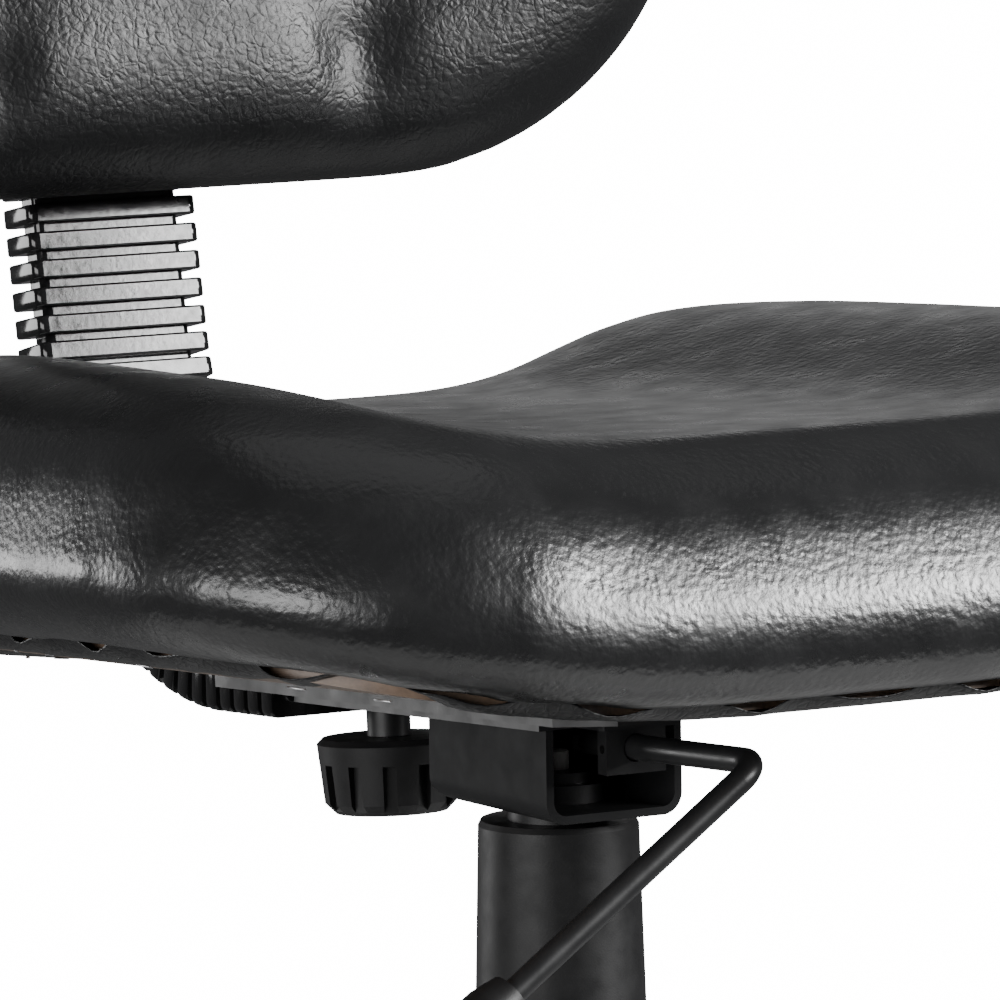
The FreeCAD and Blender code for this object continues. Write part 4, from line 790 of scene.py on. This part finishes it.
class STOOL_OT_bellows(bpy.types.Operator):
    """Make the ribbed rubber bellows round the bar"""

    bl_idname = "stool.bellows"
    bl_label = "Make bellows"

    level_start: bpy.props.FloatProperty(
        name="Start", description="Where the ribs begin behind the column", unit="LENGTH",
        default=0.143)
    upright: bpy.props.FloatProperty(
        name="Upright", description="Length of the bellows above the bend", unit="LENGTH",
        default=0.073)

    def station(self, along):
        """Turn and place of the bar's section at a distance along it."""
        level = BEND_START - self.level_start
        arc = BEND_R * BEND_SWEEP
        if along <= level:
            return Matrix.Translation((0.0, self.level_start + along, BAR_LEVEL))
        swing = min((along - level) / BEND_R, BEND_SWEEP)
        turn = Matrix.Translation(BEND_CENTRE) @ Matrix.Rotation(swing, 4, "X")
        turn = turn @ Matrix.Translation((0.0, 0.0, -BEND_R))
        over = max(along - level - arc, 0.0)
        return turn @ Matrix.Translation((0.0, over, 0.0))

    def core(self, bm, shape, level):
        """Sleeve under the ribs: level, round the bend and up."""
        core_w = shape.half_width - shape.groove
        core_t = shape.half_depth - shape.groove
        bmesh.ops.create_grid(bm, x_segments=1, y_segments=1, size=1.0)
        bmesh.ops.scale(bm, vec=(core_w, core_t, 1.0), verts=bm.verts)
        bevelled(bm, bm.verts[:], CORE_CORNER, 3, affect="VERTICES")
        bmesh.ops.rotate(bm, cent=(0, 0, 0), matrix=Matrix.Rotation(math.pi / 2, 3, "X"),
                         verts=bm.verts)
        bmesh.ops.transform(bm, matrix=self.station(0.0), verts=bm.verts)
        end = pushed_out(bm, bm.faces[:], (0.0, level, 0.0))
        swept = bmesh.ops.spin(bm, geom=end, cent=BEND_CENTRE, axis=(1, 0, 0), angle=BEND_SWEEP,
                               steps=BEND_STEPS, use_merge=False, use_duplicate=False)
        end = only(bmesh.types.BMFace, swept["geom_last"])
        pushed_out(bm, end, UPRIGHT * self.upright)
        bmesh.ops.remove_doubles(bm, verts=bm.verts, dist=1e-6)

    def ribs(self, bm, shape, total):
        """Evenly spaced ribs with rounded corners, then a small bevel on every rim."""
        thick = shape.rib_thickness
        size = Matrix.Diagonal((2 * shape.half_width, thick, 2 * shape.half_depth, 1.0))
        count = int(round(total / shape.pitch))
        pitch = total / count
        for index in range(count):
            rib = bmesh.ops.create_cube(bm, size=1.0)
            place = self.station(pitch * (index + 0.5))
            bmesh.ops.transform(bm, matrix=place @ size, verts=rib["verts"])
            edges = list({edge for vertex in rib["verts"] for edge in vertex.link_edges})
            corners = [edge for edge in edges if abs(edge.calc_length() - thick) < 1e-5]
            bevelled(bm, corners, RIB_CORNER, 4)
        rims = [edge for edge in bm.edges
                if edge.is_manifold and edge.calc_face_angle(0.0) > RIM_ANGLE]
        bevelled(bm, rims, RIM_BEVEL, 2, clamp=True)

    def execute(self, context):
        shape = context.scene.stool_bellows
        level = BEND_START - self.level_start
        total = level + BEND_R * BEND_SWEEP + self.upright
        bm = bmesh.new()
        self.core(bm, shape, level)
        self.ribs(bm, shape, total)
        bmesh.ops.recalc_face_normals(bm, faces=bm.faces)
        bmesh.ops.transform(bm, matrix=SEAT_MATRIX, verts=bm.verts)
        piece = new_piece("bellows_sleeve", bm, FINISHES["bellows_rubber"], None,
                          RIB_FLAT_AREA)
        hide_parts("bellows")
        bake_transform(piece)
        return {"FINISHED"}


class STOOL_OT_stage(bpy.types.Operator):
    """Set the pale floor, the soft studio lights and the camera"""

    bl_idname = "stool.stage"
    bl_label = "Set stage"

    def execute(self, context):
        stage = context.scene.stool_stage
        self.camera(context, stage)
        self.world(context)
        for name, power, place, aim, size in LIGHTS:
            self.light(name, getattr(stage, power), place, aim, size)
        self.floor(stage)
        return {"FINISHED"}

    def camera(self, context, stage):
        data = bpy.data.cameras.new("photo_camera")
        data.sensor_width = SENSOR_WIDTH
        data.lens = stage.lens
        data.clip_start = CLIP_START
        data.clip_end = CLIP_END
        camera = linked("photo_camera", data)
        ahead = (CAMERA_AIM - CAMERA_EYE).normalized()
        right = ahead.cross(Vector((0.0, 0.0, 1.0))).normalized()
        up = right.cross(ahead)
        c, s = math.cos(stage.roll), math.sin(stage.roll)
        right, up = right * c - up * s, right * s + up * c
        turn = Matrix((right, up, -ahead)).transposed().to_4x4()
        camera.matrix_world = Matrix.Translation(CAMERA_EYE) @ turn
        context.scene.camera = camera

    def world(self, context):
        """Dim grey room that the camera itself sees as white."""
        world = bpy.data.worlds.new("studio")
        world.use_nodes = True
        tree = world.node_tree
        tree.nodes.clear()
        seen = tree.nodes.new("ShaderNodeBackground")
        seen.inputs["Color"].default_value = BACKDROP_COLOUR
        seen.inputs["Strength"].default_value = BACKDROP_STRENGTH
        room = tree.nodes.new("ShaderNodeBackground")
        room.inputs["Color"].default_value = ROOM_COLOUR
        path = tree.nodes.new("ShaderNodeLightPath")
        mix = tree.nodes.new("ShaderNodeMixShader")
        out = tree.nodes.new("ShaderNodeOutputWorld")
        tree.links.new(path.outputs["Is Camera Ray"], mix.inputs["Fac"])
        tree.links.new(room.outputs["Background"], mix.inputs[1])
        tree.links.new(seen.outputs["Background"], mix.inputs[2])
        tree.links.new(mix.outputs["Shader"], out.inputs["Surface"])
        context.scene.world = world

    def light(self, name, power, place, aim, size):
        data = bpy.data.lights.new(name, "AREA")
        data.shape = "RECTANGLE"
        data.size, data.size_y = size
        data.energy = power
        light = linked(name, data)
        light.location = place
        light.rotation_mode = "QUATERNION"
        light.rotation_quaternion = (Vector(aim) - Vector(place)).to_track_quat("-Z", "Y")

    def floor(self, stage):
        bm = bmesh.new()
        bmesh.ops.create_circle(bm, cap_ends=True, segments=FLOOR_SIDES, radius=stage.floor_radius)
        bmesh.ops.translate(bm, vec=(0.0, 0.0, -FLOOR_DROP), verts=bm.verts)
        s = Shader("floor_paint")
        s.colour(s.noise(6.0, detail=4.0), ((NOISE_LOW, FLOOR_DARK), (NOISE_HIGH, FLOOR_LIGHT)))
        s.join(s.spread(s.noise(30.0), 0.5, 0.65), s.surface.inputs["Roughness"])
        new_piece("studio_floor", bm, s.material)


class STOOL_PT_dressing(bpy.types.Panel):
    """Pieces, finishes and stage of the stool"""

    bl_idname = "STOOL_PT_dressing"
    bl_label = "Drafting Stool"
    bl_space_type = "VIEW_3D"
    bl_region_type = "UI"
    bl_category = "Stool"

    def draw(self, context):
        for key, title, _ in GROUPS:
            group = getattr(context.scene, key)
            box = self.layout.box()
            box.label(text=title)
            for name in group.bl_rna.properties.keys():
                if name not in {"rna_type", "name"}:
                    box.prop(group, name)
        column = self.layout.column(align=True)
        for operator in OPERATORS:
            column.operator(operator.bl_idname)


GROUPS = (("stool_upholstery", "Upholstery", StoolUpholstery),
          ("stool_bellows", "Bellows", StoolBellows),
          ("stool_finish", "Finishes", StoolFinish),
          ("stool_stage", "Stage", StoolStage))
OPERATORS = (STOOL_OT_finishes, STOOL_OT_seat_pad, STOOL_OT_back_pad, STOOL_OT_seat_hem,
             STOOL_OT_bellows, STOOL_OT_stage)
CLASSES = (*(group for _, _, group in GROUPS), *OPERATORS, STOOL_PT_dressing)


def register():
    for cls in CLASSES:
        bpy.utils.register_class(cls)
    for key, _, group in GROUPS:
        setattr(bpy.types.Scene, key, bpy.props.PointerProperty(type=group))


def unregister():
    for key, _, _ in reversed(GROUPS):
        delattr(bpy.types.Scene, key)
    for cls in reversed(CLASSES):
        bpy.utils.unregister_class(cls)


def main():
    register()
    bpy.ops.stool.stage()
    bpy.ops.stool.finishes()
    bpy.ops.stool.bellows()
    bpy.ops.stool.seat_pad()
    bpy.ops.stool.back_pad()
    bpy.ops.stool.seat_hem()


if __name__ == "__main__":
    main()
